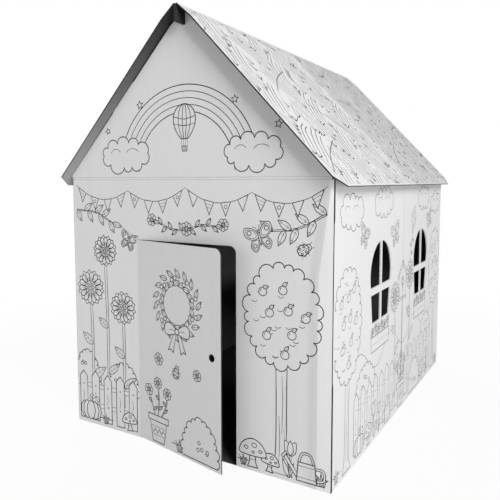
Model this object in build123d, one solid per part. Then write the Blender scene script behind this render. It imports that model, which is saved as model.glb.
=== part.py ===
"""A child's playhouse folded from corrugated board.

One sheet makes the four walls with both gables, a second sheet makes the roof with
its pinched ridge fin, and the door is a flap cut from the front wall.
The front faces -Y, +X is to the right and +Z is up. The origin is on the floor, under
the middle of the whole house as it stands with its door ajar.
"""
from build123d import *
import os
from math import cos, radians, sin, tan

os.makedirs("parts", exist_ok=True)

# Board
board = 3.0                 # thickness of the single-wall corrugated board
fold_outer_radius = 4.0     # outside of a fold
fold_inner_radius = 1.0     # inside of a fold
score_wide = 4.0            # a pressed crease that stays flat
score_deep = 0.5
overrun = 5.0               # how far a cutting shape runs past what it cuts

# Walls
house_wide = 660.0          # outside, left to right
house_long = 892.0          # outside, front to rear
crease_high = 585.0         # floor to the crease under the gable
wall_top_above_crease = 7.0
side_crease_from_front = 465.0
gable_top_gap = 6.0         # the gable's edge falls away from the roof towards the ridge
gable_tab_rise = 2.0        # a stretch of the edge that was cut less deep
gable_tab_shares = (0.455, 0.655)   # where it starts and ends, from the wall to the shoulder

# Glue flap at the front right corner
flap_wide = 34.0
flap_wide_at_top = 12.0
flap_taper_low = 402.0
flap_taper_high = 549.0
glue_film = 0.3
corner_groove_deep = 5.0

# Door, a flap hinged on its left crease
door_from_left = 199.0
door_wide = 255.0
door_high = 451.0
door_corner_radius = 15.0
door_cut_gap = 0.7
door_crease_gap = 0.3
door_floor_gap = 2.0
door_ajar = 11.0            # degrees open as it stands
finger_hole_radius = 8.0
finger_hole_from_edge = 25.0    # its middle, from the door's free edge
finger_hole_high = 232.0

# Windows, two in the right wall
window_from_crease = 180.0
window_sill_high = 271.0
window_sill_wide = 118.0
window_arch_radius = 76.0
window_arch_high = 372.0
window_post_wide = 10.5
window_bar_low = 333.5
window_bar_wide = 16.0

# Roof
roof_pitch = 46.3           # degrees, main slopes
ridge_pitch = 40.0          # degrees, the flatter shoulders beside the ridge
ridge_shoulder_wide = 35.0
shoulder_radius = 90.0
ridge_tip_radius = 2.8
eave_overhang = 22.0        # beyond the side wall, along X
front_overhang = 27.0
rear_overhang = 18.0
roof_seat_gap = 0.2
roof_crease_from_front = 463.0
corner_cut_up = 24.0
corner_cut_along = 33.0

# Ridge fin and the notches that hold it
fin_high = 33.0
fin_pinch_gap = 0.8
notch_side_gap = 1.5
notch_floor_gap = 0.2

# Short slits near the eaves
slit_from_front = 400.0
slit_up_from_eave = 37.0
slit_long = 38.0
slit_wide = 2.2

# The door's free edge or the roof reaches furthest forward
door_leaf_wide = door_wide - door_cut_gap
door_reach = door_leaf_wide * sin(radians(door_ajar))
front_reach = max(door_reach, front_overhang)
whole_long = front_reach + house_long + rear_overhang

x_right = house_wide / 2
x_left = -x_right
y_front = front_reach - whole_long / 2
y_rear = y_front + house_long
wall_top = crease_high + wall_top_above_crease
x_hinge = x_left + door_from_left

# Heights under the roof, worked in from the side walls to the ridge
seat_high = wall_top + roof_seat_gap
shoulder_high = seat_high + (x_right - ridge_shoulder_wide) * tan(radians(roof_pitch))
fin_half = fin_pinch_gap / 2 + board
fin_root_high = shoulder_high + (ridge_shoulder_wide - fin_half) * tan(radians(ridge_pitch))
fin_foot_high = fin_root_high - fin_high
eave_x = x_right + eave_overhang
eave_high = seat_high - eave_overhang * tan(radians(roof_pitch))


def front_plane(y):
    """A sketch plane that faces the front, local x to the right and local y up."""
    return Plane(origin=(0, y, 0), x_dir=(1, 0, 0), z_dir=(0, -1, 0))


def side_plane(x):
    """A sketch plane that faces right, local x to the rear and local y up."""
    return Plane(origin=(x, 0, 0), x_dir=(0, 1, 0), z_dir=(1, 0, 0))


def near(vertices, x, y):
    """The corner of a flat outline that lies at x, y."""
    return vertices.sort_by_distance(Vector(x, y, 0))[0]


def soften(outline, corners):
    """Round corners of a flat outline, given as (x, y, radius)."""
    for x, y, radius in corners:
        outline = fillet(near(outline.vertices(), x, y), radius)
    return outline


def wall_ring():
    """The four walls in plan, with the flap glued behind the front wall."""
    flap_face = y_front + board + glue_film
    groove_end = x_right - corner_groove_deep
    outside = make_face(Polyline(
        (x_right, y_front),
        (x_left, y_front),
        (x_left, y_rear),
        (x_right, y_rear),
        (x_right, flap_face),
        (groove_end, flap_face),
        (groove_end, y_front + board),
        (x_right, y_front + board),
        close=True,
    ))
    outside = soften(outside, [
        (x_left, y_front, fold_outer_radius),
        (x_left, y_rear, fold_outer_radius),
        (x_right, y_rear, fold_outer_radius),
        (x_right, flap_face, fold_outer_radius),
    ])
    inner_left = x_left + board
    inner_right = x_right - board
    inner_rear = y_rear - board
    flap_end = inner_right - flap_wide
    flap_back = flap_face + board
    inside = make_face(Polyline(
        (inner_right, flap_back),
        (inner_right, inner_rear),
        (inner_left, inner_rear),
        (inner_left, y_front + board),
        (flap_end, y_front + board),
        (flap_end, flap_back),
        close=True,
    ))
    inside = soften(inside, [
        (inner_right, flap_back, fold_inner_radius),
        (inner_right, inner_rear, fold_inner_radius),
        (inner_left, inner_rear, fold_inner_radius),
        (inner_left, y_front + board, fold_inner_radius),
    ])
    return outside - inside


def gable_outline():
    """The gable above the walls, up to the notch that takes the ridge fin."""
    notch_half = fin_half + notch_side_gap
    notch_floor = fin_foot_high - notch_floor_gap
    under_shoulder = shoulder_high - gable_top_gap
    slope_top = under_shoulder + (ridge_shoulder_wide - notch_half) * tan(radians(ridge_pitch))
    wall_corner = Vector(x_right, wall_top)
    edge = Vector(ridge_shoulder_wide, under_shoulder) - wall_corner
    rise = Vector(0, gable_tab_rise)
    tab_start, tab_end = [wall_corner + edge * share for share in gable_tab_shares]
    slope = [wall_corner, tab_start, tab_start + rise, tab_end + rise, tab_end, wall_corner + edge]
    right_half = [(point.X, point.Y) for point in slope]
    right_half += [(notch_half, slope_top), (notch_half, notch_floor)]
    left_half = [(-x, z) for x, z in reversed(right_half)]
    foot = wall_top - overrun
    return make_face(Polyline(
        (x_right, foot),
        *right_half,
        *left_half,
        (x_left, foot),
        close=True,
    ))


def door_outline(left, right, bottom, top, radius):
    """The door or its opening, rounded at the top corner away from the hinge."""
    middle = (left + right) / 2
    outline = Pos(middle, (bottom + top) / 2) * Rectangle(right - left, top - bottom)
    return soften(outline, [(right, top, radius)])


def window_panes():
    """Four panes under an arch: the window's outline less its post and its bar."""
    half_sill = window_sill_wide / 2
    arch_top = window_arch_high + window_arch_radius
    sides = Polyline(
        (-window_arch_radius, window_arch_high),
        (-half_sill, window_sill_high),
        (half_sill, window_sill_high),
        (window_arch_radius, window_arch_high),
    )
    arch = ThreePointArc(
        (window_arch_radius, window_arch_high),
        (0, arch_top),
        (-window_arch_radius, window_arch_high),
    )
    outline = make_face([*sides.edges(), arch])
    high = arch_top - window_sill_high
    post = Pos(0, window_sill_high + high / 2) * Rectangle(window_post_wide, high + overrun)
    bar_middle = window_bar_low + window_bar_wide / 2
    bar = Pos(0, bar_middle) * Rectangle(2 * window_arch_radius + overrun, window_bar_wide)
    return outline - post - bar


def right_windows():
    """Cutters for the two windows of the right wall."""
    deep = board + 2 * overrun
    cutters = []
    for offset in (-window_from_crease, window_from_crease):
        place = Pos(0, y_front + side_crease_from_front + offset, 0)
        panes = side_plane(x_right + overrun) * window_panes()
        cutters.append(place * extrude(panes, amount=-deep))
    return cutters


def wall_scores():
    """Cutters for the creases that stay flat: under both gables and in both sides."""
    cutters = []
    across = house_wide + overrun
    for y in (y_front, y_rear):
        cutters.append(Pos(0, y, crease_high) * Box(across, 2 * score_deep, score_wide))
    tall = wall_top + overrun
    for x in (x_left, x_right):
        place = Pos(x, y_front + side_crease_from_front, tall / 2)
        cutters.append(place * Box(2 * score_deep, score_wide, tall + overrun))
    return cutters


def flap_taper():
    """Cutter that slants the top of the glue flap."""
    inner_right = x_right - board
    flap_end = inner_right - flap_wide
    narrow_end = inner_right - flap_wide_at_top
    outline = make_face(Polyline(
        (flap_end - overrun, flap_taper_low),
        (flap_end, flap_taper_low),
        (narrow_end, flap_taper_high),
        (narrow_end, wall_top + overrun),
        (flap_end - overrun, wall_top + overrun),
        close=True,
    ))
    flap_deep = board + glue_film
    return extrude(front_plane(y_front + board) * outline, amount=-flap_deep)


def make_walls():
    """Walls and gables, folded from one sheet."""
    walls = extrude(wall_ring(), amount=wall_top)
    gable = gable_outline()
    for y in (y_front, y_rear - board):
        walls += extrude(front_plane(y) * gable, amount=-board)
    opening = door_outline(
        x_hinge - door_crease_gap, x_hinge + door_wide, -overrun, door_high, door_corner_radius
    )
    walls -= extrude(front_plane(y_front - overrun) * opening, amount=-(board + 2 * overrun))
    walls -= flap_taper()
    for cutter in right_windows() + wall_scores():
        walls -= cutter
    return walls


def make_door():
    """The door leaf, swung open about its crease at the front wall's outer face."""
    outline = door_outline(
        x_hinge,
        x_hinge + door_leaf_wide,
        door_floor_gap,
        door_high - door_cut_gap,
        door_corner_radius - door_cut_gap,
    )
    hole_x = x_hinge + door_leaf_wide - finger_hole_from_edge
    outline -= Pos(hole_x, finger_hole_high) * Circle(finger_hole_radius)
    leaf = extrude(front_plane(y_front) * outline, amount=-board)
    crease = Pos(x_hinge, y_front, 0)
    return crease * Rot(0, 0, -door_ajar) * crease.inverse() * leaf


def slope_normal(pitch):
    """Outward direction of the right slope, in the plane of the roof's section."""
    return Vector(sin(radians(pitch)), cos(radians(pitch)))


def roof_half_section(thick):
    """Right half of the roof's section, whose underside and fin faces stay put."""
    main = slope_normal(roof_pitch)
    ridge = slope_normal(ridge_pitch)
    eave_under = Vector(eave_x, eave_high)
    eave_over = eave_under + main * thick
    bend_under = Vector(ridge_shoulder_wide, shoulder_high)
    bend_over = bend_under + (main + ridge) * (thick / (1 + main.dot(ridge)))
    pinch = fin_half - thick
    tip = Vector(pinch, bend_over.Y + (bend_over.X - pinch) * tan(radians(ridge_pitch)))
    pinch_foot = fin_foot_high + board
    outline = make_face(Polyline(
        (0, fin_foot_high),
        (fin_half, fin_foot_high),
        (fin_half, fin_root_high),
        (bend_under.X, bend_under.Y),
        (eave_under.X, eave_under.Y),
        (eave_over.X, eave_over.Y),
        (bend_over.X, bend_over.Y),
        (tip.X, tip.Y),
        (pinch, pinch_foot),
        (0, pinch_foot),
        close=True,
    ))
    return soften(outline, [
        (fin_half, fin_foot_high, board - fold_inner_radius / 2),
        (fin_half, fin_root_high, fold_inner_radius),
        (bend_under.X, bend_under.Y, shoulder_radius),
        (bend_over.X, bend_over.Y, shoulder_radius + thick),
        (tip.X, tip.Y, ridge_tip_radius),
    ])


def roof_length(thick, start, end):
    """A stretch of the roof between two places along Y."""
    half = roof_half_section(thick)
    whole = half + mirror(half, about=Plane.YZ)
    return extrude(front_plane(start) * whole, amount=start - end)


def slope_plane():
    """A sketch plane on the right slope's underside at the eave, local y up the slope."""
    normal = slope_normal(roof_pitch)
    return Plane(origin=(eave_x, 0, eave_high), x_dir=(0, 1, 0), z_dir=(normal.X, 0, normal.Y))


def slope_cutters(roof_front, roof_rear):
    """Cut corners and the slit of the right slope."""
    corner = [
        (-overrun, -overrun),
        (corner_cut_along, -overrun),
        (corner_cut_along, 0),
        (0, corner_cut_up),
        (-overrun, corner_cut_up),
    ]
    front_corner = make_face(Polyline(*[(roof_front + x, y) for x, y in corner], close=True))
    rear_corner = make_face(Polyline(*[(roof_rear - x, y) for x, y in corner], close=True))
    slit_middle = slit_up_from_eave + slit_long / 2
    slit = Pos(y_front + slit_from_front, slit_middle) * Rectangle(slit_wide, slit_long)
    cutters = []
    for outline in (front_corner, rear_corner, slit):
        placed = slope_plane() * outline
        cutters.append(extrude(placed, amount=board + overrun, both=True))
    return cutters


def make_roof():
    """Both slopes and the pinched ridge fin, folded from one sheet."""
    roof_front = y_front - front_overhang
    roof_rear = y_rear + rear_overhang
    crease = y_front + roof_crease_from_front
    score_front = crease - score_wide / 2
    score_rear = crease + score_wide / 2
    roof = roof_length(board, roof_front, score_front)
    roof += roof_length(board - score_deep, score_front, score_rear)
    roof += roof_length(board, score_rear, roof_rear)
    for cutter in slope_cutters(roof_front, roof_rear):
        roof -= cutter
        roof -= mirror(cutter, about=Plane.YZ)
    return roof


export_step(make_walls(), "parts/house_walls.step")
export_step(make_roof(), "parts/roof_sheet.step")
export_step(make_door(), "parts/front_door.step")
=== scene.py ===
"""Looks of the cardboard playhouse: board, colouring print, light and camera.

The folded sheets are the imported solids. This script gives them their board, prints a garden
picture for colouring in on every face, and sets the light and the camera. Lengths are in metres
and angles in degrees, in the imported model's frame. The picture is drawn in millimetres on each
flat face, from the face's lower left corner as seen from outside.
"""
import logging
import math
import random
from dataclasses import dataclass, field
from enum import Enum
from typing import Callable, Iterable, Sequence

import bpy
import numpy as np
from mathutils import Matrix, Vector


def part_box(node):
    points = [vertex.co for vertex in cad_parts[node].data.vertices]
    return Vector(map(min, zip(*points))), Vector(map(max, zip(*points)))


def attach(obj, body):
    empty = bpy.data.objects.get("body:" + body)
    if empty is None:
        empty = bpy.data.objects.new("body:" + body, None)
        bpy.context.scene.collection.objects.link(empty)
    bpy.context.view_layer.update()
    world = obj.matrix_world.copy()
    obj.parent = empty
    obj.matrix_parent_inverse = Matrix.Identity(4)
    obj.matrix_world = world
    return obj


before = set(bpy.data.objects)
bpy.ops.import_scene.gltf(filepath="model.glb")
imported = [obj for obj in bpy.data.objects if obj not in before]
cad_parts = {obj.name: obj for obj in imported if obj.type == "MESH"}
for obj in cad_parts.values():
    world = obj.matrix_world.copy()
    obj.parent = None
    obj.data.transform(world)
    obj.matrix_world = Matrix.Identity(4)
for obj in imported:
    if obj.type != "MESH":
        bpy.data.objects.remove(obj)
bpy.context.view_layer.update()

log = logging.getLogger("playhouse")

Outline = np.ndarray
MM = 0.001
# Turn from one seed to the next, in radians
GOLDEN_TURN = 2.39996
# Posts of the bunting under a gable, in millimetres
FLAG_POSTS = ((12, 570), (172, 558), (330, 566), (490, 558), (648, 570))


# Sizes of the house

@dataclass(frozen=True)
class HousePlan:
    """Sizes of the folded house, in metres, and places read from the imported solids."""

    board: float = 0.003
    wall_top: float = 0.592
    gable_crease: float = 0.585
    flap_seen: float = 0.0285
    flap_taper: float = 0.14
    flap_taper_low: float = 0.402
    flap_taper_high: float = 0.549
    bulge_wide: float = 0.022
    bulge_high: float = 0.0018
    side_crease: float = 0.465
    roof_crease: float = 0.463
    door_wide: float = 0.255
    door_high: float = 0.451
    door_from_left: float = 0.199
    door_ajar: float = 11.0
    finger_hole: float = 0.008
    finger_hole_from_edge: float = 0.0257
    finger_hole_high: float = 0.232
    window_from_crease: float = 0.180
    window_arch_high: float = 0.372
    window_arch_radius: float = 0.076
    window_sill_high: float = 0.271
    window_sill_wide: float = 0.118
    roof_pitch: float = 46.3
    ridge_pitch: float = 40.0
    shoulder_wide: float = 0.035
    eave_overhang: float = 0.022
    seat_gap: float = 0.0002
    slit_from_front: float = 0.400
    slit_up: float = 0.037
    slit_long: float = 0.038
    corner_cut_up: float = 0.024
    corner_cut_along: float = 0.033

    @property
    def left(self) -> float:
        """Outer face of the left wall."""
        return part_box("house_walls")[0].x

    @property
    def right(self) -> float:
        """Outer face of the right wall."""
        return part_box("house_walls")[1].x

    @property
    def front(self) -> float:
        """Outer face of the front wall."""
        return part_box("house_walls")[0].y

    @property
    def rear(self) -> float:
        """Outer face of the rear wall."""
        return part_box("house_walls")[1].y

    @property
    def roof_front(self) -> float:
        """Front edge of the roof."""
        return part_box("roof_sheet")[0].y

    @property
    def roof_rear(self) -> float:
        """Rear edge of the roof."""
        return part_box("roof_sheet")[1].y

    @property
    def hinge(self) -> float:
        """Place of the door's crease along X."""
        return self.left + self.door_from_left

    @property
    def slope(self) -> float:
        """Rise of the roof for each metre across."""
        return math.tan(math.radians(self.roof_pitch))

    @property
    def shoulder_high(self) -> float:
        """Height of the roof's underside where the flatter shoulders begin."""
        return self.wall_top + self.seat_gap + (self.right - self.shoulder_wide) * self.slope

    def indoors(self, x: "Flow", y: "Flow", start: float, end: float) -> "Flow":
        """A mask of what is within the walls, seen from above.

        Args:
            x: place along X.
            y: place along Y.
            start: distance within the walls where the mask is 0.
            end: distance within the walls where the mask is 1.

        Returns:
            The mask.
        """
        return (self.right - abs(x)).least(y - self.front).least(self.rear - y).rise(start, end)


# Shader expressions

@dataclass(frozen=True)
class Flow:
    """A shader socket that can be used in Python sums.

    Args:
        bench: the bench that owns the node.
        socket: the output socket.
    """

    bench: "Bench"
    socket: bpy.types.NodeSocket

    def math(self, operation: str, *others: "Flow | float") -> "Flow":
        """Add a Math node.

        Args:
            operation: the node's operation.
            others: its second and third inputs.

        Returns:
            The result.
        """
        made = self.bench.node("ShaderNodeMath", {"operation": operation}, {})
        for index, value in enumerate((self, *others)):
            self.bench.feed(made.inputs[index], value)
        return Flow(self.bench, made.outputs[0])

    def __add__(self, other: "Flow | float") -> "Flow":
        """Sum."""
        return self.math("ADD", other)

    __radd__ = __add__

    def __mul__(self, other: "Flow | float") -> "Flow":
        """Product."""
        return self.math("MULTIPLY", other)

    __rmul__ = __mul__

    def __sub__(self, other: "Flow | float") -> "Flow":
        """Difference."""
        return self.math("SUBTRACT", other)

    def __rsub__(self, other: float) -> "Flow":
        """Difference from a number."""
        return self * -1.0 + other

    def __abs__(self) -> "Flow":
        """Distance from zero."""
        return self.math("ABSOLUTE")

    def least(self, other: "Flow | float") -> "Flow":
        """The smaller of two."""
        return self.math("MINIMUM", other)

    def most(self, other: "Flow | float") -> "Flow":
        """The larger of two."""
        return self.math("MAXIMUM", other)

    def rise(self, start: float, end: float) -> "Flow":
        """Go smoothly from 0 at start to 1 at end.

        Args:
            start: value where the result is 0.
            end: value where the result is 1.

        Returns:
            The mask.
        """
        made = self.bench.node(
            "ShaderNodeMapRange",
            {"interpolation_type": "SMOOTHSTEP", "clamp": True},
            {"Value": self, "From Min": start, "From Max": end, "To Min": 0.0, "To Max": 1.0},
        )
        return Flow(self.bench, made.outputs["Result"])


class Bench:
    """A material's node tree, with short ways to add nodes."""

    def __init__(self, name: str) -> None:
        """Make an empty material.

        Args:
            name: the material's name.
        """
        self.material = bpy.data.materials.new(name)
        self.material.use_nodes = True
        self.tree = self.material.node_tree
        self.tree.nodes.clear()

    def node(self, kind: str, settings: dict, feeds: dict) -> bpy.types.Node:
        """Add a node.

        Args:
            kind: the node's type.
            settings: its own settings, set first.
            feeds: values or links of its sockets.

        Returns:
            The node.
        """
        made = self.tree.nodes.new(kind)
        for name, value in settings.items():
            setattr(made, name, value)
        for name, value in feeds.items():
            self.feed(made.inputs[name], value)
        return made

    def feed(self, socket: bpy.types.NodeSocket, value: object) -> None:
        """Link a Flow or set a value.

        Args:
            socket: the input.
            value: a Flow, a number or a tuple.
        """
        if isinstance(value, Flow):
            self.tree.links.new(value.socket, socket)
        else:
            socket.default_value = value

    def flow(self, node: bpy.types.Node, output: str | int = 0) -> Flow:
        """Take an output of a node."""
        return Flow(self, node.outputs[output])

    def place(self) -> tuple[Flow, Flow, Flow, Flow]:
        """Object coordinates, whole and as x, y and z.

        Returns:
            The whole vector, and its x, y and z.
        """
        whole = self.flow(self.node("ShaderNodeTexCoord", {}, {}), "Object")
        split = self.node("ShaderNodeSeparateXYZ", {}, {"Vector": whole})
        return whole, self.flow(split, "X"), self.flow(split, "Y"), self.flow(split, "Z")

    def joined(self, x: Flow, y: Flow, z: Flow) -> Flow:
        """Join three numbers to a vector."""
        return self.flow(self.node("ShaderNodeCombineXYZ", {}, {"X": x, "Y": y, "Z": z}))

    def noise(self, where: Flow, scale: float, detail: float = 2.0, rough: float = 0.5) -> Flow:
        """A noise from about 0 to 1.

        Args:
            where: the coordinates.
            scale: cells for each metre.
            detail: octaves.
            rough: strength of each octave.

        Returns:
            The noise.
        """
        feeds = {"Vector": where, "Scale": scale, "Detail": detail, "Roughness": rough}
        return self.flow(self.node("ShaderNodeTexNoise", {}, feeds), "Fac")

    def mix(self, mask: Flow | float, first: object, second: object) -> Flow:
        """Blend two colours.

        Args:
            mask: 0 gives the first and 1 the second.
            first: a colour or a Flow.
            second: a colour or a Flow.

        Returns:
            The colour.
        """
        made = self.node("ShaderNodeMix", {"data_type": "RGBA", "blend_type": "MIX"}, {})
        self.feed(made.inputs[0], mask)
        self.feed(made.inputs[6], first)
        self.feed(made.inputs[7], second)
        return self.flow(made, 2)

    def scaled(self, colour: object, amount: Flow) -> Flow:
        """Multiply a colour by a number.

        Args:
            colour: a colour or a Flow.
            amount: the number.

        Returns:
            The colour.
        """
        made = self.node("ShaderNodeVectorMath", {"operation": "SCALE"}, {})
        self.feed(made.inputs[0], colour if isinstance(colour, Flow) else colour[:3])
        self.feed(made.inputs["Scale"], amount)
        return self.flow(made)

    def finish(self, colour: object, roughness: float, height: Flow, depth: float) -> bpy.types.Material:
        """Close the material with a matt shader.

        Args:
            colour: its colour.
            roughness: its roughness.
            height: a height from about 0 to 1.
            depth: what a height of 1 measures.

        Returns:
            The material.
        """
        shader = self.node("ShaderNodeBsdfPrincipled", {}, {"Base Color": colour, "Roughness": roughness})
        shader.inputs["Specular IOR Level"].default_value = 0.18
        bump = self.node("ShaderNodeBump", {}, {"Strength": 1.0, "Distance": depth, "Height": height})
        self.feed(shader.inputs["Normal"], self.flow(bump))
        self.node("ShaderNodeOutputMaterial", {}, {"Surface": self.flow(shader)})
        return self.material


def grey(value: float) -> tuple[float, float, float, float]:
    """A neutral colour of a linear value."""
    return (value, value, value, 1.0)


# Finishes

@dataclass(frozen=True)
class Panel:
    """What a board finish needs to know about a sheet at a point.

    Args:
        depth: distance from the printed face.
        along: distance across the flutes.
        crease: distance from the middle of the nearest pressed crease.
        inside: 1 where the sheet's back gets painted shade: inside the house, and on the roof towards the
            ridge.
        far: 1 on the part of the sheet that is darkened as painted shade.
        seam: 1 where a near-black painted shadow stands for the gap beside a raw edge.
        swell: height of the bulge over a flap behind the face.
        raised: 1 on the bulge, where a painted highlight lightens the face.
        painted_lit_cut: 1 where a cut edge is painted pale, as if lit.
    """

    depth: Flow
    along: Flow
    crease: Flow
    inside: Flow | float = 0.0
    far: Flow | float = 0.0
    seam: Flow | float = 0.0
    swell: Flow | float = 0.0
    raised: Flow | float = 0.0
    painted_lit_cut: Flow | float = 0.0


@dataclass(frozen=True)
class BoardFinish:
    """White-faced corrugated board with a grey back.

    Args:
        name: the material's name.
        face: lightness of the printed face.
        back: lightness of the unprinted back.
        back_painted_shade: lightness of the back inside the house, darkened as painted shade.
        core: lightness of the fluted core at a cut edge: its own dark tone, darkened further as painted shade
            in the flute hollows.
        painted_lit_core: lightness of a cut edge painted pale, as if lit.
        gap: lightness of the painted shadow in the gap beside a raw edge.
        painted_rear_shade: how much of the face's lightness painted shade takes from the far part.
        flute: distance from one flute to the next.
        washboard: how much the flutes show through the face's tone.
        crease_half: half the width of a pressed crease.
        crease_painted_shade: how much darker a crease's rims are painted, as painted shade.
        bulge_painted_light: how much lighter the bulge over a flap is painted, as a painted highlight.
        fibre_deep: height of the paper's fibres.
        flute_deep: height of the flutes that show through the face.
        crease_deep: depth of a crease's rims.
        roughness: roughness of the paper.
        liner: thickness of the white liner, as a share of the board's.
        paper_tone: how much the tone wanders in streaks and blotches.
        fibre_tone: how much the tone wanders from fibre to fibre.
    """

    name: str
    face: float
    back: float = 0.20
    back_painted_shade: float = 0.22
    core: float = 0.035
    painted_lit_core: float = 0.85
    gap: float = 0.012
    painted_rear_shade: float = 0.0
    flute: float = 0.0065
    washboard: float = 0.008
    crease_half: float = 0.0024
    crease_painted_shade: float = 0.22
    bulge_painted_light: float = 0.10
    fibre_deep: float = 0.00004
    flute_deep: float = 0.00004
    crease_deep: float = 0.00012
    roughness: float = 0.82
    liner: float = 0.08
    paper_tone: float = 0.05
    fibre_tone: float = 0.03

    def build(self, plan: HousePlan, describe: Callable[[Flow, Flow, Flow], Panel]) -> bpy.types.Material:
        """Make the material.

        Args:
            plan: the house.
            describe: gives a Panel from x, y and z.

        Returns:
            The material.
        """
        bench = Bench(self.name)
        whole, x, y, z = bench.place()
        panel = describe(x, y, z)
        liner = plan.board * self.liner
        beside = panel.crease.rise(self.crease_half * 1.6, self.crease_half * 1.9)
        in_core = panel.depth.rise(liner * 0.9, liner * 1.1) * beside
        in_back = panel.depth.rise(plan.board - liner * 1.1, plan.board - liner * 0.9)
        ripple = (panel.along * (math.tau / self.flute)).math("SINE")
        wander = bench.noise(whole, 9.0, 3.0)
        blotch = bench.noise(whole, 2.3, 1.0)
        fibre = bench.noise(whole, 900.0, 2.0, 0.7)
        streak = bench.noise(bench.joined(panel.along * 70.0, z * 0.8, z * 0.0), 1.0)
        # Painted shade darkens the crease's rims and painted light lightens its valley, on top of the rims'
        # bump.
        rim = 1.0 - abs(panel.crease - self.crease_half).rise(0.0003, 0.0011)
        valley = 1.0 - panel.crease.rise(self.crease_half * 0.5, self.crease_half)
        shade = ripple * self.washboard * wander + 1.0
        shade = shade + ((streak - 0.5) + (blotch - 0.5)) * self.paper_tone + (fibre - 0.5) * self.fibre_tone
        shade = shade * (1.0 - rim * self.crease_painted_shade + valley * 0.04)
        # Painted shade darkens the roof behind its crease; a painted highlight lightens the bulge over the
        # hidden flap.
        lit = (1.0 - self.painted_rear_shade * panel.far) * (1.0 + self.bulge_painted_light * panel.raised)
        face = bench.scaled(grey(self.face), shade * lit)
        # The back inside the house, and the roof's underside towards the ridge, is darkened as painted shade.
        back = bench.scaled(bench.mix(panel.inside, grey(self.back), grey(self.back_painted_shade)), shade)
        wave = ripple * 0.5 + 0.5
        # The cut edge's core: its own dark tone, with painted shade in the flute hollows.
        core = bench.scaled(grey(self.core), wave * 0.9 + 0.3)
        # Cut edges by the right wall's windows are painted pale, as if lit.
        core = bench.mix(panel.painted_lit_cut, core, grey(self.painted_lit_core))
        colour = bench.mix(in_back, bench.mix(in_core, face, core), back)
        # Painted shadow: near black in the gap beside the front wall's raw edge at the right corner.
        colour = bench.mix(panel.seam, colour, grey(self.gap))
        height = ripple * wander * (self.flute_deep / self.fibre_deep) + fibre
        height = height + panel.swell * (1.0 / self.fibre_deep) - rim * (self.crease_deep / self.fibre_deep)
        return bench.finish(colour, self.roughness, height, self.fibre_deep)


@dataclass(frozen=True)
class InkFinish:
    """Matt black printing ink, a little worn."""

    name: str = "printed_ink"
    dark: float = 0.012
    worn: float = 0.05

    def build(self) -> bpy.types.Material:
        """Make the material."""
        bench = Bench(self.name)
        whole, _, _, _ = bench.place()
        mottle = bench.noise(whole, 260.0, 3.0, 0.6).rise(0.45, 0.85)
        colour = bench.mix(mottle, grey(self.dark), grey(self.worn))
        return bench.finish(colour, 0.7, bench.noise(whole, 1200.0), 0.00002)


@dataclass(frozen=True)
class FloorFinish:
    """White paper floor that keeps a soft shadow, with painted shade under the house.

    Args:
        name: the material's name.
        lightness: lightness under the lamps.
        under: lightness inside the house's walls, darkened as painted shade.
        shown_white: share of plain white that the camera sees close to the house.
        fade_start: distance from the middle where the shadow starts to fade.
        fade_end: distance from the middle where the floor is plain white.
    """

    name: str = "studio_white"
    lightness: float = 0.8
    under: float = 0.09
    shown_white: float = 0.94
    fade_start: float = 0.9
    fade_end: float = 1.7

    def build(self, plan: HousePlan) -> bpy.types.Material:
        """Make the material.

        Args:
            plan: the house.

        Returns:
            The material.
        """
        bench = Bench(self.name)
        whole, x, y, _ = bench.place()
        within = plan.indoors(x, y, 0.0, 0.002)
        # Painted shade: the floor within the walls is dark, and the camera sees it without the white
        # brightening.
        colour = bench.mix(within, grey(self.lightness), grey(self.under))
        shader = bench.node("ShaderNodeBsdfDiffuse", {}, {"Color": colour, "Roughness": 0.0})
        white = bench.node("ShaderNodeEmission", {}, {"Color": grey(1.0), "Strength": 1.0})
        ray = bench.node("ShaderNodeLightPath", {}, {})
        seen = bench.flow(ray, "Is Camera Ray").most(bench.flow(ray, "Is Glossy Ray"))
        seen = seen.most(bench.flow(ray, "Is Transmission Ray"))
        away = bench.node("ShaderNodeVectorMath", {"operation": "LENGTH"}, {0: whole})
        fade = bench.flow(away, "Value").rise(self.fade_start, self.fade_end)
        share = (fade * (1.0 - self.shown_white) + self.shown_white) * (1.0 - within)
        blend = bench.node("ShaderNodeMixShader", {}, {"Fac": seen * share})
        bench.feed(blend.inputs[1], bench.flow(shader))
        bench.feed(blend.inputs[2], bench.flow(white))
        bench.node("ShaderNodeOutputMaterial", {}, {"Surface": bench.flow(blend)})
        return bench.material


# The folded sheets

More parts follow.
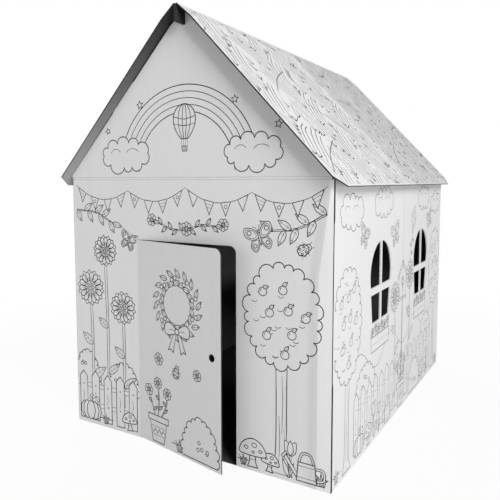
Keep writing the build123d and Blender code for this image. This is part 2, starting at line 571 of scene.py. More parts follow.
@dataclass
class FoldedSheets:
    """Dresses the walls, the roof and the door in board.

    A band is a pair of places, and a mask goes from 0 at the first to 1 at the second.

    Args:
        plan: the house.
        skin: band behind the front face where the wall's thickness begins.
        raw_edge: band behind the front face where the raw edge ends.
        rim: band beside the corner where the front face's painted dark rim ends.
        gap_edge: band beside the corner where the painted shadow of the gap ends.
        flap_edge: band past the hidden flap where the painted highlight on its bulge ends.
        sill_low: band of heights under the windows.
        arch_high: band of heights over the windows.
        cut_skin: band within the right wall where a cut edge is painted pale, as if lit.
        crease_edge: band across the roof's crease, where the painted shade behind it begins.
        painted_shade_high: band of heights where the roof's underside is darkened towards the ridge as
            painted shade.
    """

    plan: HousePlan
    skin: tuple[float, float] = (0.0001, 0.0003)
    raw_edge: tuple[float, float] = (0.0040, 0.0046)
    rim: tuple[float, float] = (0.0006, 0.0010)
    gap_edge: tuple[float, float] = (0.0050, 0.0053)
    flap_edge: tuple[float, float] = (-0.0006, 0.0014)
    sill_low: tuple[float, float] = (0.20, 0.21)
    arch_high: tuple[float, float] = (0.50, 0.51)
    cut_skin: tuple[float, float] = (-0.0045, -0.0035)
    crease_edge: tuple[float, float] = (-0.002, 0.002)
    painted_shade_high: tuple[float, float] = (0.50, 0.94)

    def dress(self) -> None:
        """Give each sheet its board."""
        walls = BoardFinish("wall_board", face=0.80)
        # The roof's face is painted lighter than the walls' face of the same board, as painted light.
        roof = BoardFinish("roof_board", face=0.87, painted_rear_shade=0.09, back=0.42, back_painted_shade=0.03)
        door = BoardFinish("door_board", face=0.81)
        for node, finish, describe in (
            ("house_walls", walls, self.wall_panel),
            ("roof_sheet", roof, self.roof_panel),
            ("front_door", door, self.door_panel),
        ):
            material = finish.build(self.plan, describe)
            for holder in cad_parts[node].material_slots:
                holder.material = material
            log.info("dressed %s", node)

    def wall_panel(self, x: Flow, y: Flow, z: Flow) -> Panel:
        """Describe the walls, whose flutes stand upright.

        Args:
            x: place along X.
            y: place along Y.
            z: height.

        Returns:
            What the finish needs to know.
        """
        plan = self.plan
        side = plan.right - abs(x)
        from_front = y - plan.front
        from_right = plan.right - x
        end = from_front.least(plan.rear - y)
        at_side = (end - side).rise(-0.0001, 0.0001)
        along = at_side * y + (1.0 - at_side) * x
        side_crease = abs(from_front - plan.side_crease)
        crease = at_side * side_crease + (1.0 - at_side) * abs(z - plan.gable_crease)
        on_face = 1.0 - from_front.rise(*self.skin)
        raw_edge = (1.0 - on_face) * (1.0 - from_front.rise(*self.raw_edge))
        rim = on_face * (1.0 - from_right.rise(*self.rim))
        taper = (z - plan.flap_taper_low).most(0.0).least(plan.flap_taper_high - plan.flap_taper_low)
        reach = plan.flap_seen - taper * plan.flap_taper
        past = from_right - reach
        lifted = on_face * (1.0 - z.rise(plan.gable_crease - 0.002, plan.gable_crease))
        bulge = from_right.math("DIVIDE", reach).least(1.0 - past.rise(0.0, plan.bulge_wide))
        window_zone = z.rise(*self.sill_low) * (1.0 - z.rise(*self.arch_high))
        return Panel(
            # inside marks the backs within the house, which get painted shade.
            depth=side.least(end), along=along, crease=crease, inside=plan.indoors(x, y, -0.001, 0.0),
            # seam paints a near-black shadow on the front wall's raw edge and face rim at the right corner.
            seam=raw_edge.most(rim) * (1.0 - from_right.rise(*self.gap_edge)),
            # raised gets a painted highlight on the bulge over the hidden flap.
            swell=lifted * bulge * plan.bulge_high, raised=lifted * (1.0 - past.rise(*self.flap_edge)),
            # The window zone's cut edges on the right wall are painted pale, as if lit.
            painted_lit_cut=window_zone * (x - plan.right).rise(*self.cut_skin),
        )

    def roof_panel(self, x: Flow, y: Flow, z: Flow) -> Panel:
        """Describe the roof, whose flutes run up the slopes.

        Args:
            x: place along X.
            y: place along Y.
            z: height.

        Returns:
            What the finish needs to know.
        """
        plan = self.plan
        across = abs(x) - plan.shoulder_wide
        up = z - plan.shoulder_high
        main, ridge = (
            plan.board - (across * math.sin(pitch) + up * math.cos(pitch))
            for pitch in (math.radians(plan.roof_pitch), math.radians(plan.ridge_pitch))
        )
        crease = y - (plan.front + plan.roof_crease)
        return Panel(
            # far marks the slope behind the crease, which is darkened as painted shade.
            depth=main.least(ridge), along=y, crease=abs(crease), far=crease.rise(*self.crease_edge),
            # inside adds painted shade on the roof's underside: within the house and towards the ridge.
            inside=plan.indoors(x, y, -0.001, 0.0).most(z.rise(*self.painted_shade_high)),
        )

    def door_panel(self, x: Flow, y: Flow, z: Flow) -> Panel:
        """Describe the door, which stands ajar and has no pressed crease.

        Args:
            x: place along X.
            y: place along Y.
            z: height, not used: it makes no difference on the door.

        Returns:
            What the finish needs to know.
        """
        turn = math.radians(self.plan.door_ajar)
        depth = (x - self.plan.hinge) * math.sin(turn) + (y - self.plan.front) * math.cos(turn)
        return Panel(depth=depth, along=x, crease=x * 0.0 + 1.0)



# Drawing on a flat sheet, in millimetres

class Pen(Enum):
    """Widths of the printed lines, in millimetres."""

    HAIR = 1.15
    FINE = 1.55
    PLAIN = 2.0
    STRAW = 3.0


@dataclass(frozen=True)
class Stroke:
    """A printed line.

    Args:
        points: its points.
        pen: its width.
        closed: whether it runs back to its start.
    """

    points: Outline
    pen: Pen = Pen.FINE
    closed: bool = False


def turned(points: Outline, degrees: float) -> Outline:
    """Turn points anticlockwise about the origin.

    Args:
        points: the points.
        degrees: how far.

    Returns:
        The turned points.
    """
    angle = math.radians(degrees)
    cosine, sine = math.cos(angle), math.sin(angle)
    return np.asarray(points, float) @ np.array(((cosine, sine), (-sine, cosine)))


def put(points: Sequence, x: float, y: float, size: float = 1.0, turn: float = 0.0) -> Outline:
    """Scale and turn points and move them to a place."""
    return turned(np.asarray(points, float) * size, turn) + (x, y)


def oval(
    x: float, y: float, wide: float, high: float, turn: float = 0.0, start: float = 0.0, end: float = 360.0
) -> Outline:
    """Points round an oval, or along a part of it.

    Args:
        x: its middle.
        y: its middle.
        wide: its width.
        high: its height.
        turn: how far it is turned.
        start: angle where it starts.
        end: angle where it ends.

    Returns:
        The points, anticlockwise.
    """
    span = math.radians(end - start)
    whole = end - start >= 360.0
    count = max(7, round(span * math.sqrt(max(wide, high)) * 0.9))
    angles = math.radians(start) + np.linspace(0.0, span, count, endpoint=not whole)
    flat = np.column_stack((np.cos(angles) * wide / 2, np.sin(angles) * high / 2))
    return turned(flat, turn) + (x, y)


def smooth(points: Sequence, closed: bool = False, parts: int = 5) -> Outline:
    """Run a smooth curve through points.

    Args:
        points: the points.
        closed: whether the curve runs back to its start.
        parts: short lines between one point and the next.

    Returns:
        The curve's points.
    """
    knots = np.asarray(points, float)
    if closed:
        ring = np.vstack((knots[-1:], knots, knots[:2]))
    else:
        ring = np.vstack((2 * knots[:1] - knots[1:2], knots, 2 * knots[-1:] - knots[-2:-1]))
    step = np.linspace(0.0, 1.0, parts, endpoint=False)[:, None]
    pieces = []
    for a, b, c, d in zip(ring, ring[1:], ring[2:], ring[3:]):
        square = a - 2.5 * b + 2.0 * c - 0.5 * d
        cube = 1.5 * (b - c) + 0.5 * (d - a)
        pieces.append(b + step * (c - a) / 2 + step**2 * square + step**3 * cube)
    if not closed:
        pieces.append(knots[-1:])
    return np.vstack(pieces)


def folded(half: Sequence, parts: int = 5) -> Outline:
    """Close a smooth half outline with its mirror image across the x axis."""
    upper = smooth(half, parts=parts)
    return np.vstack((upper, upper[::-1] * (1.0, -1.0)))


def mirrored(side: Outline) -> Outline:
    """Close a right-hand side with its mirror image across the y axis."""
    return np.vstack((side, (side * (-1, 1))[::-1]))


def block(left: float, low: float, right: float, high: float) -> Outline:
    """Outline of an upright rectangle."""
    return np.array(((left, low), (right, low), (right, high), (left, high)), float)


def band(path: Outline, wide: float | np.ndarray) -> Outline:
    """Closed outline of a band along a path.

    Args:
        path: the band's middle line.
        wide: its width, or one width for each point.

    Returns:
        The outline.
    """
    steps = np.gradient(path, axis=0)
    steps = steps / np.linalg.norm(steps, axis=1, keepdims=True)
    side = np.column_stack((-steps[:, 1], steps[:, 0])) * np.reshape(wide, (-1, 1)) / 2
    return np.vstack((path - side, (path + side)[::-1]))


def evenly(points: Outline, closed: bool, step: float) -> Outline:
    """Place points along a line at most a step apart, and keep its own points.

    Args:
        points: the line.
        closed: whether it runs back to its start.
        step: the longest step.

    Returns:
        The line with more points.
    """
    ends = np.roll(points, -1, axis=0) if closed else points[1:]
    starts = points if closed else points[:-1]
    pieces = []
    for start, end in zip(starts, ends):
        parts = max(1, math.ceil(np.linalg.norm(end - start) / step))
        share = np.linspace(0.0, 1.0, parts, endpoint=False)[:, None]
        pieces.append(start + (end - start) * share)
    if not closed:
        pieces.append(points[-1:])
    return np.vstack(pieces)


def scalloped(base: Outline, bump: float, depth: float = 0.9, seed: int = 1) -> Outline:
    """Replace a closed anticlockwise outline by a row of round bumps.

    Args:
        base: the outline.
        bump: usual width of a bump.
        depth: how far the bumps stand out, as a share of half their width.
        seed: seed of their uneven widths.

    Returns:
        The bumpy outline.
    """
    chance = random.Random(seed)
    ring = np.vstack((base, base[:1]))
    run = np.append(0.0, np.cumsum(np.linalg.norm(np.diff(ring, axis=0), axis=1)))
    count = max(5, round(run[-1] / bump))
    places = [(k + chance.uniform(0.0, 0.45)) / count * run[-1] for k in range(count)]
    stations = np.column_stack([np.interp(places, run, ring[:, axis]) for axis in (0, 1)])
    angles = np.linspace(0.0, math.pi, 7)[:-1, None]
    pieces = []
    for start, end in zip(stations, np.roll(stations, -1, axis=0)):
        chord = end - start
        outward = np.array((chord[1], -chord[0])) * depth / 2
        pieces.append((start + end) / 2 - chord / 2 * np.cos(angles) + outward * np.sin(angles))
    return np.vstack(pieces)


def inside(outline: Outline, points: Outline) -> np.ndarray:
    """Tell which points lie inside a closed outline.

    Args:
        outline: the outline.
        points: what is tested.

    Returns:
        True for each point inside.
    """
    x, y = points.T
    x0, y0 = outline.T[:, :, None]
    x1, y1 = np.roll(outline, -1, axis=0).T[:, :, None]
    spans = (y0 > y) != (y1 > y)
    rise = np.where(y1 == y0, 1.0, y1 - y0)
    return (spans & (x < x0 + (y - y0) * (x1 - x0) / rise)).sum(axis=0) % 2 == 1


@dataclass(frozen=True)
class Cover:
    """A closed outline that hides what is drawn behind it."""

    outline: Outline
    low: np.ndarray
    high: np.ndarray

    def meets(self, low: np.ndarray, high: np.ndarray) -> bool:
        """Tell whether a box comes near the outline."""
        return bool((self.low <= high).all() and (self.high >= low).all())


def plainer(points: Outline, slack: float = 0.07) -> Outline:
    """Leave out the points that a line hardly needs.

    Args:
        points: the line.
        slack: how far the line may move.

    Returns:
        The line with fewer points.
    """
    if len(points) < 3:
        return points
    chord = points[-1] - points[0]
    long = np.linalg.norm(chord)
    offset = points - points[0]
    if long < slack:
        away = np.linalg.norm(offset, axis=1)
    else:
        away = np.abs(offset[:, 0] * chord[1] - offset[:, 1] * chord[0]) / long
    worst = int(away.argmax())
    if away[worst] < slack:
        return points[[0, -1]]
    return np.vstack((plainer(points[:worst + 1], slack)[:-1], plainer(points[worst:], slack)))


def kept_parts(stroke: Stroke, keep: Callable[[Outline], np.ndarray]) -> list[Stroke]:
    """Cut a stroke where a test fails.

    Args:
        stroke: the stroke.
        keep: tells for each point whether it stays.

    Returns:
        What is left of it.
    """
    dense = evenly(stroke.points, stroke.closed, 2.0)
    good = keep(dense)
    if good.all():
        return [stroke]
    if not good.any():
        return []
    if stroke.closed:
        first = int(np.flatnonzero(~good)[0])
        dense = np.roll(dense, -first, axis=0)
        good = np.roll(good, -first)
        dense = np.vstack((dense, dense[:1]))
        good = np.append(good, good[0])
    change = np.flatnonzero(good[1:] != good[:-1])
    start, end = dense[change], dense[change + 1]
    for _ in range(5):
        middle = (start + end) / 2
        like_start = (keep(middle) == good[change])[:, None]
        start = np.where(like_start, middle, start)
        end = np.where(like_start, end, middle)
    edges = dict(zip(change.tolist(), (start + end) / 2))
    parts = []
    run = [dense[0]] if good[0] else []
    for index in range(1, len(dense)):
        if index - 1 in edges:
            run.append(edges[index - 1])
            if good[index - 1]:
                parts.append(np.array(run))
                run = []
        if good[index]:
            run.append(dense[index])
    if len(run) > 1:
        parts.append(np.array(run))
    shortest = stroke.pen.value
    return [
        Stroke(part, stroke.pen)
        for part in parts
        if np.linalg.norm(np.diff(part, axis=0), axis=1).sum() > shortest
    ]


@dataclass
class Sheet:
    """A flat drawing, made from the nearest motif to the furthest."""

    strokes: list[Stroke] = field(default_factory=list)
    covers: list[Cover] = field(default_factory=list)

    def line(self, points: Outline, pen: Pen = Pen.PLAIN, closed: bool = False) -> None:
        """Draw a line where nothing nearer hides it.

        Args:
            points: its points.
            pen: its width.
            closed: whether it runs back to its start.
        """
        points = np.asarray(points, float)
        low, high = points.min(axis=0), points.max(axis=0)
        near = [cover.outline for cover in self.covers if cover.meets(low, high)]

        def shows(tested: Outline) -> np.ndarray:
            """Tell which points no nearer motif hides.

            Args:
                tested: the points.

            Returns:
                True for each point that shows.
            """
            hidden = np.zeros(len(tested), bool)
            for outline in near:
                hidden |= inside(outline, tested)
            return ~hidden

        self.strokes += kept_parts(Stroke(points, pen, closed), shows)

    def shape(self, outline: Outline, pen: Pen = Pen.PLAIN, details: Iterable[Stroke] = ()) -> None:
        """Draw a closed shape with its details, which hides what comes later.

        Args:
            outline: the shape.
            pen: its width.
            details: strokes inside it.
        """
        outline = np.asarray(outline, float)
        for detail in details:
            self.line(detail.points, detail.pen, detail.closed)
        self.line(outline, pen, closed=True)
        self.hide(outline)

    def hide(self, outline: Outline) -> None:
        """Keep what comes later out of a closed outline."""
        self.covers.append(Cover(outline, outline.min(axis=0), outline.max(axis=0)))

    def add(self, *motifs: "Motif") -> "Sheet":
        """Draw motifs, the nearest first, and give the sheet back.

        Args:
            motifs: what is drawn.

        Returns:
            The sheet itself.
        """
        for motif in motifs:
            motif.draw(self)
        return self


class Motif:
    """Something that can be drawn on a sheet."""

    def draw(self, sheet: Sheet) -> None:
        """Draw it, its nearest part first.

        Args:
            sheet: what it is drawn on.
        """
        raise NotImplementedError


@dataclass(frozen=True)
class Placed(Motif):
    """A motif with a middle or a root."""

    x: float
    y: float


@dataclass(frozen=True)
class Standing(Motif):
    """A motif that stands on the ground or grows from it."""

    x: float
    base: float


# Garden motifs

@dataclass(frozen=True)
class Leaf(Placed):
    """A pointed leaf with veins, from its stalk at x, y."""

    long: float
    wide: float
    turn: float
    veins: int = 3

    def draw(self, sheet: Sheet) -> None:
        """Draw the leaf."""
        half = ((0, 0), (0.22, 0.4), (0.6, 0.42), (1, 0))
        body = folded(np.array(half) * (self.long, self.wide))
        marks = [((0, 0), (self.long * 0.9, 0))]
        for share in np.linspace(0.2, 0.7, self.veins):
            reach = self.wide * 0.3 * (1.0 - abs(share - 0.45))
            for side in (-1, 1):
                root = (share * self.long, 0)
                marks.append((root, (share * self.long + self.long * 0.14, side * reach)))
        details = [Stroke(put(mark, self.x, self.y, turn=self.turn), Pen.HAIR) for mark in marks]
        sheet.shape(put(body, self.x, self.y, turn=self.turn), Pen.FINE, details)


@dataclass(frozen=True)
class Twig(Placed):
    """A leafy twig from x, y."""

    long: float
    turn: float
    leaves: int = 7

    def draw(self, sheet: Sheet) -> None:
        """Draw the leaves and then the stem."""
        knots = ((0, 0), (self.long * 0.5, self.long * 0.09), (self.long, 0))
        path = put(smooth(knots), self.x, self.y, turn=self.turn)
        Leaf(path[-1][0], path[-1][1], self.long * 0.24, self.long * 0.11, self.turn, 2).draw(sheet)
        for index in range(self.leaves):
            root = path[int((index + 0.6) / self.leaves * (len(path) - 1))]
            turn = self.turn + (48.0 if index % 2 else -48.0)
            Leaf(root[0], root[1], self.long * 0.26, self.long * 0.12, turn, 2).draw(sheet)
        sheet.shape(band(path, 3.0), Pen.FINE)


@dataclass(frozen=True)
class Blossom(Placed):
    """A round flower seen from the front."""

    radius: float
    petals: int = 8
    turn: float = 0.0
    heart: float = 0.32
    seeds: int = 0
    rows: int = 1

    def draw(self, sheet: Sheet) -> None:
        """Draw the heart and then the petals round it."""
        heart = self.radius * self.heart
        details = []
        for index in range(self.seeds):
            angle = index * GOLDEN_TURN
            out = heart * 0.86 * math.sqrt((index + 0.5) / self.seeds)
            seed = oval(self.x + out * math.cos(angle), self.y + out * math.sin(angle), 2.6, 2.6)
            details.append(Stroke(seed, Pen.HAIR, True))
        if not self.seeds:
            details.append(Stroke(oval(self.x, self.y, heart, heart), Pen.HAIR, True))
        sheet.shape(oval(self.x, self.y, 2 * heart, 2 * heart), Pen.FINE, details)
        wide = 2.3 * self.radius / self.petals
        for row in range(self.rows):
            for index in range(self.petals):
                turn = self.turn + (index + row / 2) * 360.0 / self.petals
                reach = self.radius * (1.0 + 0.12 * row)
                half = ((heart * 0.8, 0), (heart * 1.3, wide * 0.6), (reach * 0.82, wide), (reach, 0))
                vein = put(((heart * 1.15, 0), (reach * 0.7, 0)), self.x, self.y, turn=turn)
                petal = put(folded(half, 4), self.x, self.y, turn=turn)
                sheet.shape(petal, Pen.FINE, [Stroke(vein, Pen.HAIR)])


@dataclass(frozen=True)
class Stem(Standing):
    """A flower's stem with a leaf on each side."""

    top_x: float
    top: float
    wide: float = 4.0
    leaves: float = 34.0

    def draw(self, sheet: Sheet) -> None:
        """Draw the leaves and then the stem."""
        middle = (self.base + self.top) / 2
        bow = (self.top_x - self.x) * 0.15 + 3.0
        knots = ((self.x, self.base), ((self.x + self.top_x) / 2 + bow, middle), (self.top_x, self.top))
        path = smooth(knots)
        if self.leaves:
            low, high = path[len(path) // 4], path[len(path) // 2]
            wide = self.leaves * 0.42
            Leaf(low[0], low[1], self.leaves, wide, 38.0).draw(sheet)
            Leaf(high[0], high[1], self.leaves * 0.8, wide, 142.0).draw(sheet)
        sheet.shape(band(path, self.wide), Pen.FINE)


@dataclass(frozen=True)
class Sunflower(Standing):
    """A tall sunflower."""

    head_x: float
    head_y: float
    radius: float

    def draw(self, sheet: Sheet) -> None:
        """Draw the head and then the stem."""
        sheet.add(
            Blossom(self.head_x, self.head_y, self.radius, 14, 6.0, 0.42, 26, 2),
            Stem(self.x, self.base, self.head_x, self.head_y, 6.5, self.radius * 1.35),
        )


@dataclass(frozen=True)
class Tulip(Standing):
    """A tulip with two long leaves."""

    high: float
    lean: float = 0.0

    def draw(self, sheet: Sheet) -> None:
        """Draw the cup, the stem and the leaves."""
        cup = self.high * 0.2
        top = self.base + self.high - 2 * cup
        x = self.x + self.lean
        middle = folded(((0, 0), (cup * 0.6, cup * 0.42), (cup * 1.5, cup * 0.3), (cup * 2.0, 0)), 4)
        sheet.shape(put(middle, x, top, turn=90.0), Pen.FINE)
        for side in (-1, 1):
            petal = ((0, 0), (cup * 0.75 * side, cup * 0.5), (cup * 0.8 * side, cup * 1.9), (0, cup * 1.3))
            sheet.shape(put(smooth(petal, True, 4), x, top), Pen.FINE)
        path = smooth(((self.x, self.base), ((self.x + x) / 2 + 2, (self.base + top) / 2), (x, top)), parts=4)
        sheet.shape(band(path, 3.2), Pen.FINE)
        for side, share in ((-1, 0.52), (1, 0.44)):
            reach = self.high * share
            leaf = folded(((0, 0), (reach * 0.4, reach * 0.13), (reach, 0)), 4)
            sheet.shape(put(leaf, self.x, self.base, turn=90.0 - 20.0 * side), Pen.FINE)


@dataclass(frozen=True)
class Grass(Standing):
    """A tuft of grass."""

    high: float
    blades: int = 5

    def draw(self, sheet: Sheet) -> None:
        """Draw the blades."""
        for index in range(self.blades):
            share = index / (self.blades - 1) - 0.5
            foot = share * 0.35
            bend = foot + share * 0.3
            tip = (share * 1.5, 1.0 - abs(share) * 0.9)
            near = smooth(((foot - 0.06, 0), (bend - 0.06, 0.55), tip), parts=4)
            far = smooth((tip, (bend + 0.09, 0.5), (foot + 0.1, 0)), parts=4)
            sheet.shape(put(np.vstack((near, far)), self.x, self.base, self.high), Pen.FINE)


@dataclass(frozen=True)
class Fence(Motif):
    """A picket fence from start to end."""

    start: float
    end: float
    base: float
    high: float
    picket: float = 27.0
    gap: float = 15.0

    def draw(self, sheet: Sheet) -> None:
        """Draw the pickets and then the rails behind them."""
        count = max(2, round((self.end - self.start + self.gap) / (self.picket + self.gap)))
        pitch = (self.end - self.start + self.gap) / count
        wide = pitch - self.gap
        rails = (self.base + self.high * 0.28, self.base + self.high * 0.68)
        for index in range(count):
            x = self.start + index * pitch
            top = self.base + self.high + (4.0 if index % 2 else 0.0)
            board = ((x, self.base), (x + wide, self.base), (x + wide, top - wide * 0.55),
                     (x + wide / 2, top), (x, top - wide * 0.55))
            grain = smooth(((x + wide * 0.38, self.base + self.high * 0.36),
                            (x + wide * 0.5, self.base + self.high * 0.47),
                            (x + wide * 0.42, self.base + self.high * 0.6)), parts=3)
            nails = [Stroke(oval(x + wide / 2, rail + 5.0, 3.0, 3.0), Pen.HAIR, True) for rail in rails]
            sheet.shape(np.array(board), Pen.PLAIN, [Stroke(grain, Pen.HAIR), *nails])
        for rail in rails:
            sheet.shape(block(self.start, rail, self.end, rail + 10.0), Pen.FINE)


@dataclass(frozen=True)
class Tree(Standing):
    """A round-headed fruit tree."""

    crown_y: float
    wide: float
    high: float
    fruits: int = 7
    seed: int = 1

    def draw(self, sheet: Sheet) -> None:
        """Draw the fruit, the crown and the trunk."""
        chance = random.Random(self.seed)
        for index in range(self.fruits):
            angle = index * GOLDEN_TURN + 0.6
            out = 0.40 * math.sqrt((index + 0.6) / self.fruits)
            x = self.x + self.wide * out * math.cos(angle)
            y = self.crown_y + self.high * out * math.sin(angle)
            Leaf(x, y + 8, 13, 8, chance.uniform(10, 60), 0).draw(sheet)
            gloss = oval(x, y, 11, 11, start=110, end=190)
            sheet.shape(oval(x, y, 18, 17), Pen.FINE, [Stroke(gloss, Pen.HAIR)])
        ticks = []
        for _ in range(round(self.wide * self.high / 1500)):
            angle = chance.uniform(0, math.tau)
            out = 0.44 * math.sqrt(chance.random())
            x = self.x + self.wide * out * math.cos(angle)
            y = self.crown_y + self.high * out * math.sin(angle)
            ticks.append(Stroke(oval(x, y, 12, 9, start=190, end=350), Pen.HAIR))
        crown = scalloped(oval(self.x, self.crown_y, self.wide, self.high), self.wide * 0.17, seed=self.seed)
        sheet.shape(crown, Pen.PLAIN, ticks)
        half = self.wide * 0.075
        top = self.crown_y - self.high * 0.42
        span = top - self.base
        side = smooth(((half * 2.1, 0), (half * 1.15, span * 0.16), (half, span * 0.6), (half * 1.1, span)))
        trunk = mirrored(side) + (self.x, self.base)
        bark = []
        for share, low, high in ((-0.45, 0.1, 0.5), (0.1, 0.35, 0.85), (0.5, 0.08, 0.4)):
            x = self.x + half * share
            knots = ((x, self.base + span * low), (x + 2, self.base + span * (low + high) / 2),
                     (x, self.base + span * high))
            bark.append(Stroke(smooth(knots, parts=3), Pen.HAIR))
        sheet.shape(trunk, Pen.PLAIN, bark)


@dataclass(frozen=True)
class Bush(Standing):
    """A low round bush with berries."""

    wide: float
    high: float
    seed: int = 1

    def draw(self, sheet: Sheet) -> None:
        """Draw the berries and the bush."""
        chance = random.Random(self.seed)
        for index in range(max(3, round(self.wide / 22))):
            angle = chance.uniform(0.15, 0.85) * math.pi
            out = chance.uniform(0.25, 0.8)
            x = self.x + self.wide / 2 * out * math.cos(angle)
            y = self.base + self.high * out * math.sin(angle)
            sheet.shape(oval(x, y, 7.5, 7.5), Pen.FINE)
        dome = oval(self.x, self.base, self.wide, self.high * 2, start=0, end=180)
        dome = np.vstack((dome, ((self.x, self.base - 2.0),)))
        bumps = scalloped(dome, self.wide * 0.16, 0.8, self.seed)
        bumps[:, 1] = np.maximum(bumps[:, 1], self.base)
        sheet.shape(bumps, Pen.PLAIN)


@dataclass(frozen=True)
class Cloud(Placed):
    """A puffy cloud."""

    wide: float
    high: float
    seed: int = 1

    def draw(self, sheet: Sheet) -> None:
        """Draw the curls and the cloud."""
        curls = []
        for share, size in ((-0.22, 0.22), (0.16, 0.28)):
            x = self.x + share * self.wide
            curl = oval(x, self.y + self.high * 0.05, self.wide * size, self.high * 0.4, start=20, end=170)
            curls.append(Stroke(curl, Pen.HAIR))
        body = scalloped(oval(self.x, self.y, self.wide, self.high), self.wide * 0.23, 0.85, self.seed)
        sheet.shape(body, Pen.PLAIN, curls)


@dataclass(frozen=True)
class Rainbow(Placed):
    """Half rings with bands between them."""

    inner: float
    outer: float
    bands: int = 5

    def draw(self, sheet: Sheet) -> None:
        """Draw the half rings."""
        for index, radius in enumerate(np.linspace(self.inner, self.outer, self.bands)):
            pen = Pen.PLAIN if index in (0, self.bands - 1) else Pen.FINE
            sheet.line(oval(self.x, self.y, 2 * radius, 2 * radius, start=0, end=180), pen)


@dataclass(frozen=True)
class Balloon(Placed):
    """A hot-air balloon with a basket."""

    size: float

    def bowl(self, share: float) -> Outline:
        """A line down the balloon, at a share of its half width.

        Args:
            share: the share.

        Returns:
            The line.
        """
        angle = np.linspace(0.0, 0.86, 14) * math.pi
        fall = (1.0 - np.cos(angle)) / 2
        x = share * 0.5 * np.sin(angle) * (1.0 - 0.42 * fall**2)
        return put(np.column_stack((x, 0.6 * np.cos(angle))), self.x, self.y, self.size)

    def draw(self, sheet: Sheet) -> None:
        """Draw the basket, its ropes and the balloon."""
        low = self.y - self.size * 0.95
        half = self.size * 0.11
        deep = self.size * 0.16
        basket = np.array(((-half, deep), (-half * 0.85, 0), (half * 0.85, 0), (half, deep))) + (self.x, low)
        weave = []
        for share in (0.3, 0.62):
            row = ((self.x - half * 0.9, low + deep * share), (self.x + half * 0.9, low + deep * share))
            weave.append(Stroke(np.array(row), Pen.HAIR))
        for share in (-0.45, 0.0, 0.45):
            post = ((self.x + half * share, low), (self.x + half * share, low + deep))
            weave.append(Stroke(np.array(post), Pen.HAIR))
        sheet.shape(basket, Pen.FINE, weave)
        for share in (-1, -0.35, 0.35, 1):
            foot = self.bowl(share)[-1]
            sheet.line(np.array((foot, (self.x + half * share, low + deep))), Pen.HAIR)
        left, right = self.bowl(-1.0), self.bowl(1.0)
        gores = [Stroke(self.bowl(share), Pen.FINE) for share in (-0.55, -0.18, 0.18, 0.55)]
        for index, sag in ((6, 0.09), (8, 0.06)):
            ends = left[index], right[index]
            middle = (self.x, ends[0][1] - self.size * sag)
            gores.append(Stroke(smooth((ends[0], middle, ends[1]), parts=6), Pen.FINE))
        sheet.shape(np.vstack((left, right[::-1])), Pen.PLAIN, gores)


@dataclass(frozen=True)
class Bunting(Motif):
    """A string of flags hung between posts."""

    posts: tuple[tuple[float, float], ...]
    sag: float
    flag: float = 24.0

    def draw(self, sheet: Sheet) -> None:
        """Draw the flags and the string."""
        number = 0
        for (x0, y0), (x1, y1) in zip(self.posts, self.posts[1:]):
            share = np.linspace(0.0, 1.0, 25)
            rope = np.column_stack((x0 + (x1 - x0) * share, y0 + (y1 - y0) * share))
            rope[:, 1] -= self.sag * 4.0 * share * (1.0 - share)
            count = max(2, int((x1 - x0) / (self.flag * 1.45)))
            for index in range(count):
                at = (index + 0.5) / count * 24
                left, right = (self.along(rope, at + side * self.flag * 12 / (x1 - x0)) for side in (-1, 1))
                tip = (left + right) / 2 + (0, -self.flag * 1.15)
                sheet.shape(np.array((left, tip, right)), Pen.FINE, self.marks(left, right, tip, number))
                number += 1
            sheet.line(rope, Pen.FINE)

    def along(self, rope: Outline, at: float) -> np.ndarray:
        """The point of the rope at a place between its points.

        Args:
            rope: the rope's points.
            at: the place, counted in points from the start.

        Returns:
            The point.
        """
        at = min(max(at, 0.0), len(rope) - 1.001)
        low = int(at)
        return rope[low] + (rope[low + 1] - rope[low]) * (at - low)

    def marks(self, left: np.ndarray, right: np.ndarray, tip: np.ndarray, number: int) -> list[Stroke]:
        """A flag's pattern: stripes, a dot or nothing.

        Args:
            left: the flag's left corner.
            right: its right corner.
            tip: its tip.
            number: its number along the string.

        Returns:
            The strokes.
        """
        if number % 3 == 0:
            rows = [(left + (tip - left) * share, right + (tip - right) * share) for share in (0.25, 0.5)]
            return [Stroke(np.array(row), Pen.HAIR) for row in rows]
        if number % 3 == 1:
            middle = (left + right) / 2 * 0.68 + tip * 0.32
            return [Stroke(oval(*middle, self.flag * 0.28, self.flag * 0.28), Pen.HAIR, True)]
        return []


@dataclass(frozen=True)
class Stamp(Placed):
    """A motif drawn at size 1 and put in place."""

    size: float
    turn: float = 0.0

    def at(self, points: Sequence) -> Outline:
        """Bring points of size 1 to their place."""
        return put(points, self.x, self.y, self.size, self.turn)

    def stroke(self, points: Sequence, pen: Pen = Pen.HAIR, closed: bool = False) -> Stroke:
        """A stroke of size 1 in its place."""
        return Stroke(self.at(points), pen, closed)


@dataclass(frozen=True)
class Mushroom(Stamp):
    """A spotted mushroom that stands on x, y."""

    def draw(self, sheet: Sheet) -> None:
        """Draw the cap and the stalk."""
        cap = smooth(((-0.5, 0.45), (-0.36, 0.78), (0, 0.95), (0.36, 0.78), (0.5, 0.45), (0.2, 0.38),
                      (-0.2, 0.38)), True)
        places = ((-0.24, 0.62, 0.15), (0.06, 0.74, 0.19), (0.29, 0.57, 0.12), (0.02, 0.5, 0.1))
        spots = [self.stroke(oval(x, y, wide, wide * 0.8), Pen.FINE, True) for x, y, wide in places]
        sheet.shape(self.at(cap), Pen.PLAIN, spots)
        side = smooth(((0.19, 0.0), (0.11, 0.2), (0.13, 0.45)), parts=4)
        frill = smooth(((-0.13, 0.3), (0, 0.25), (0.13, 0.3)), parts=3)
        sheet.shape(self.at(mirrored(side)), Pen.PLAIN, [self.stroke(frill)])


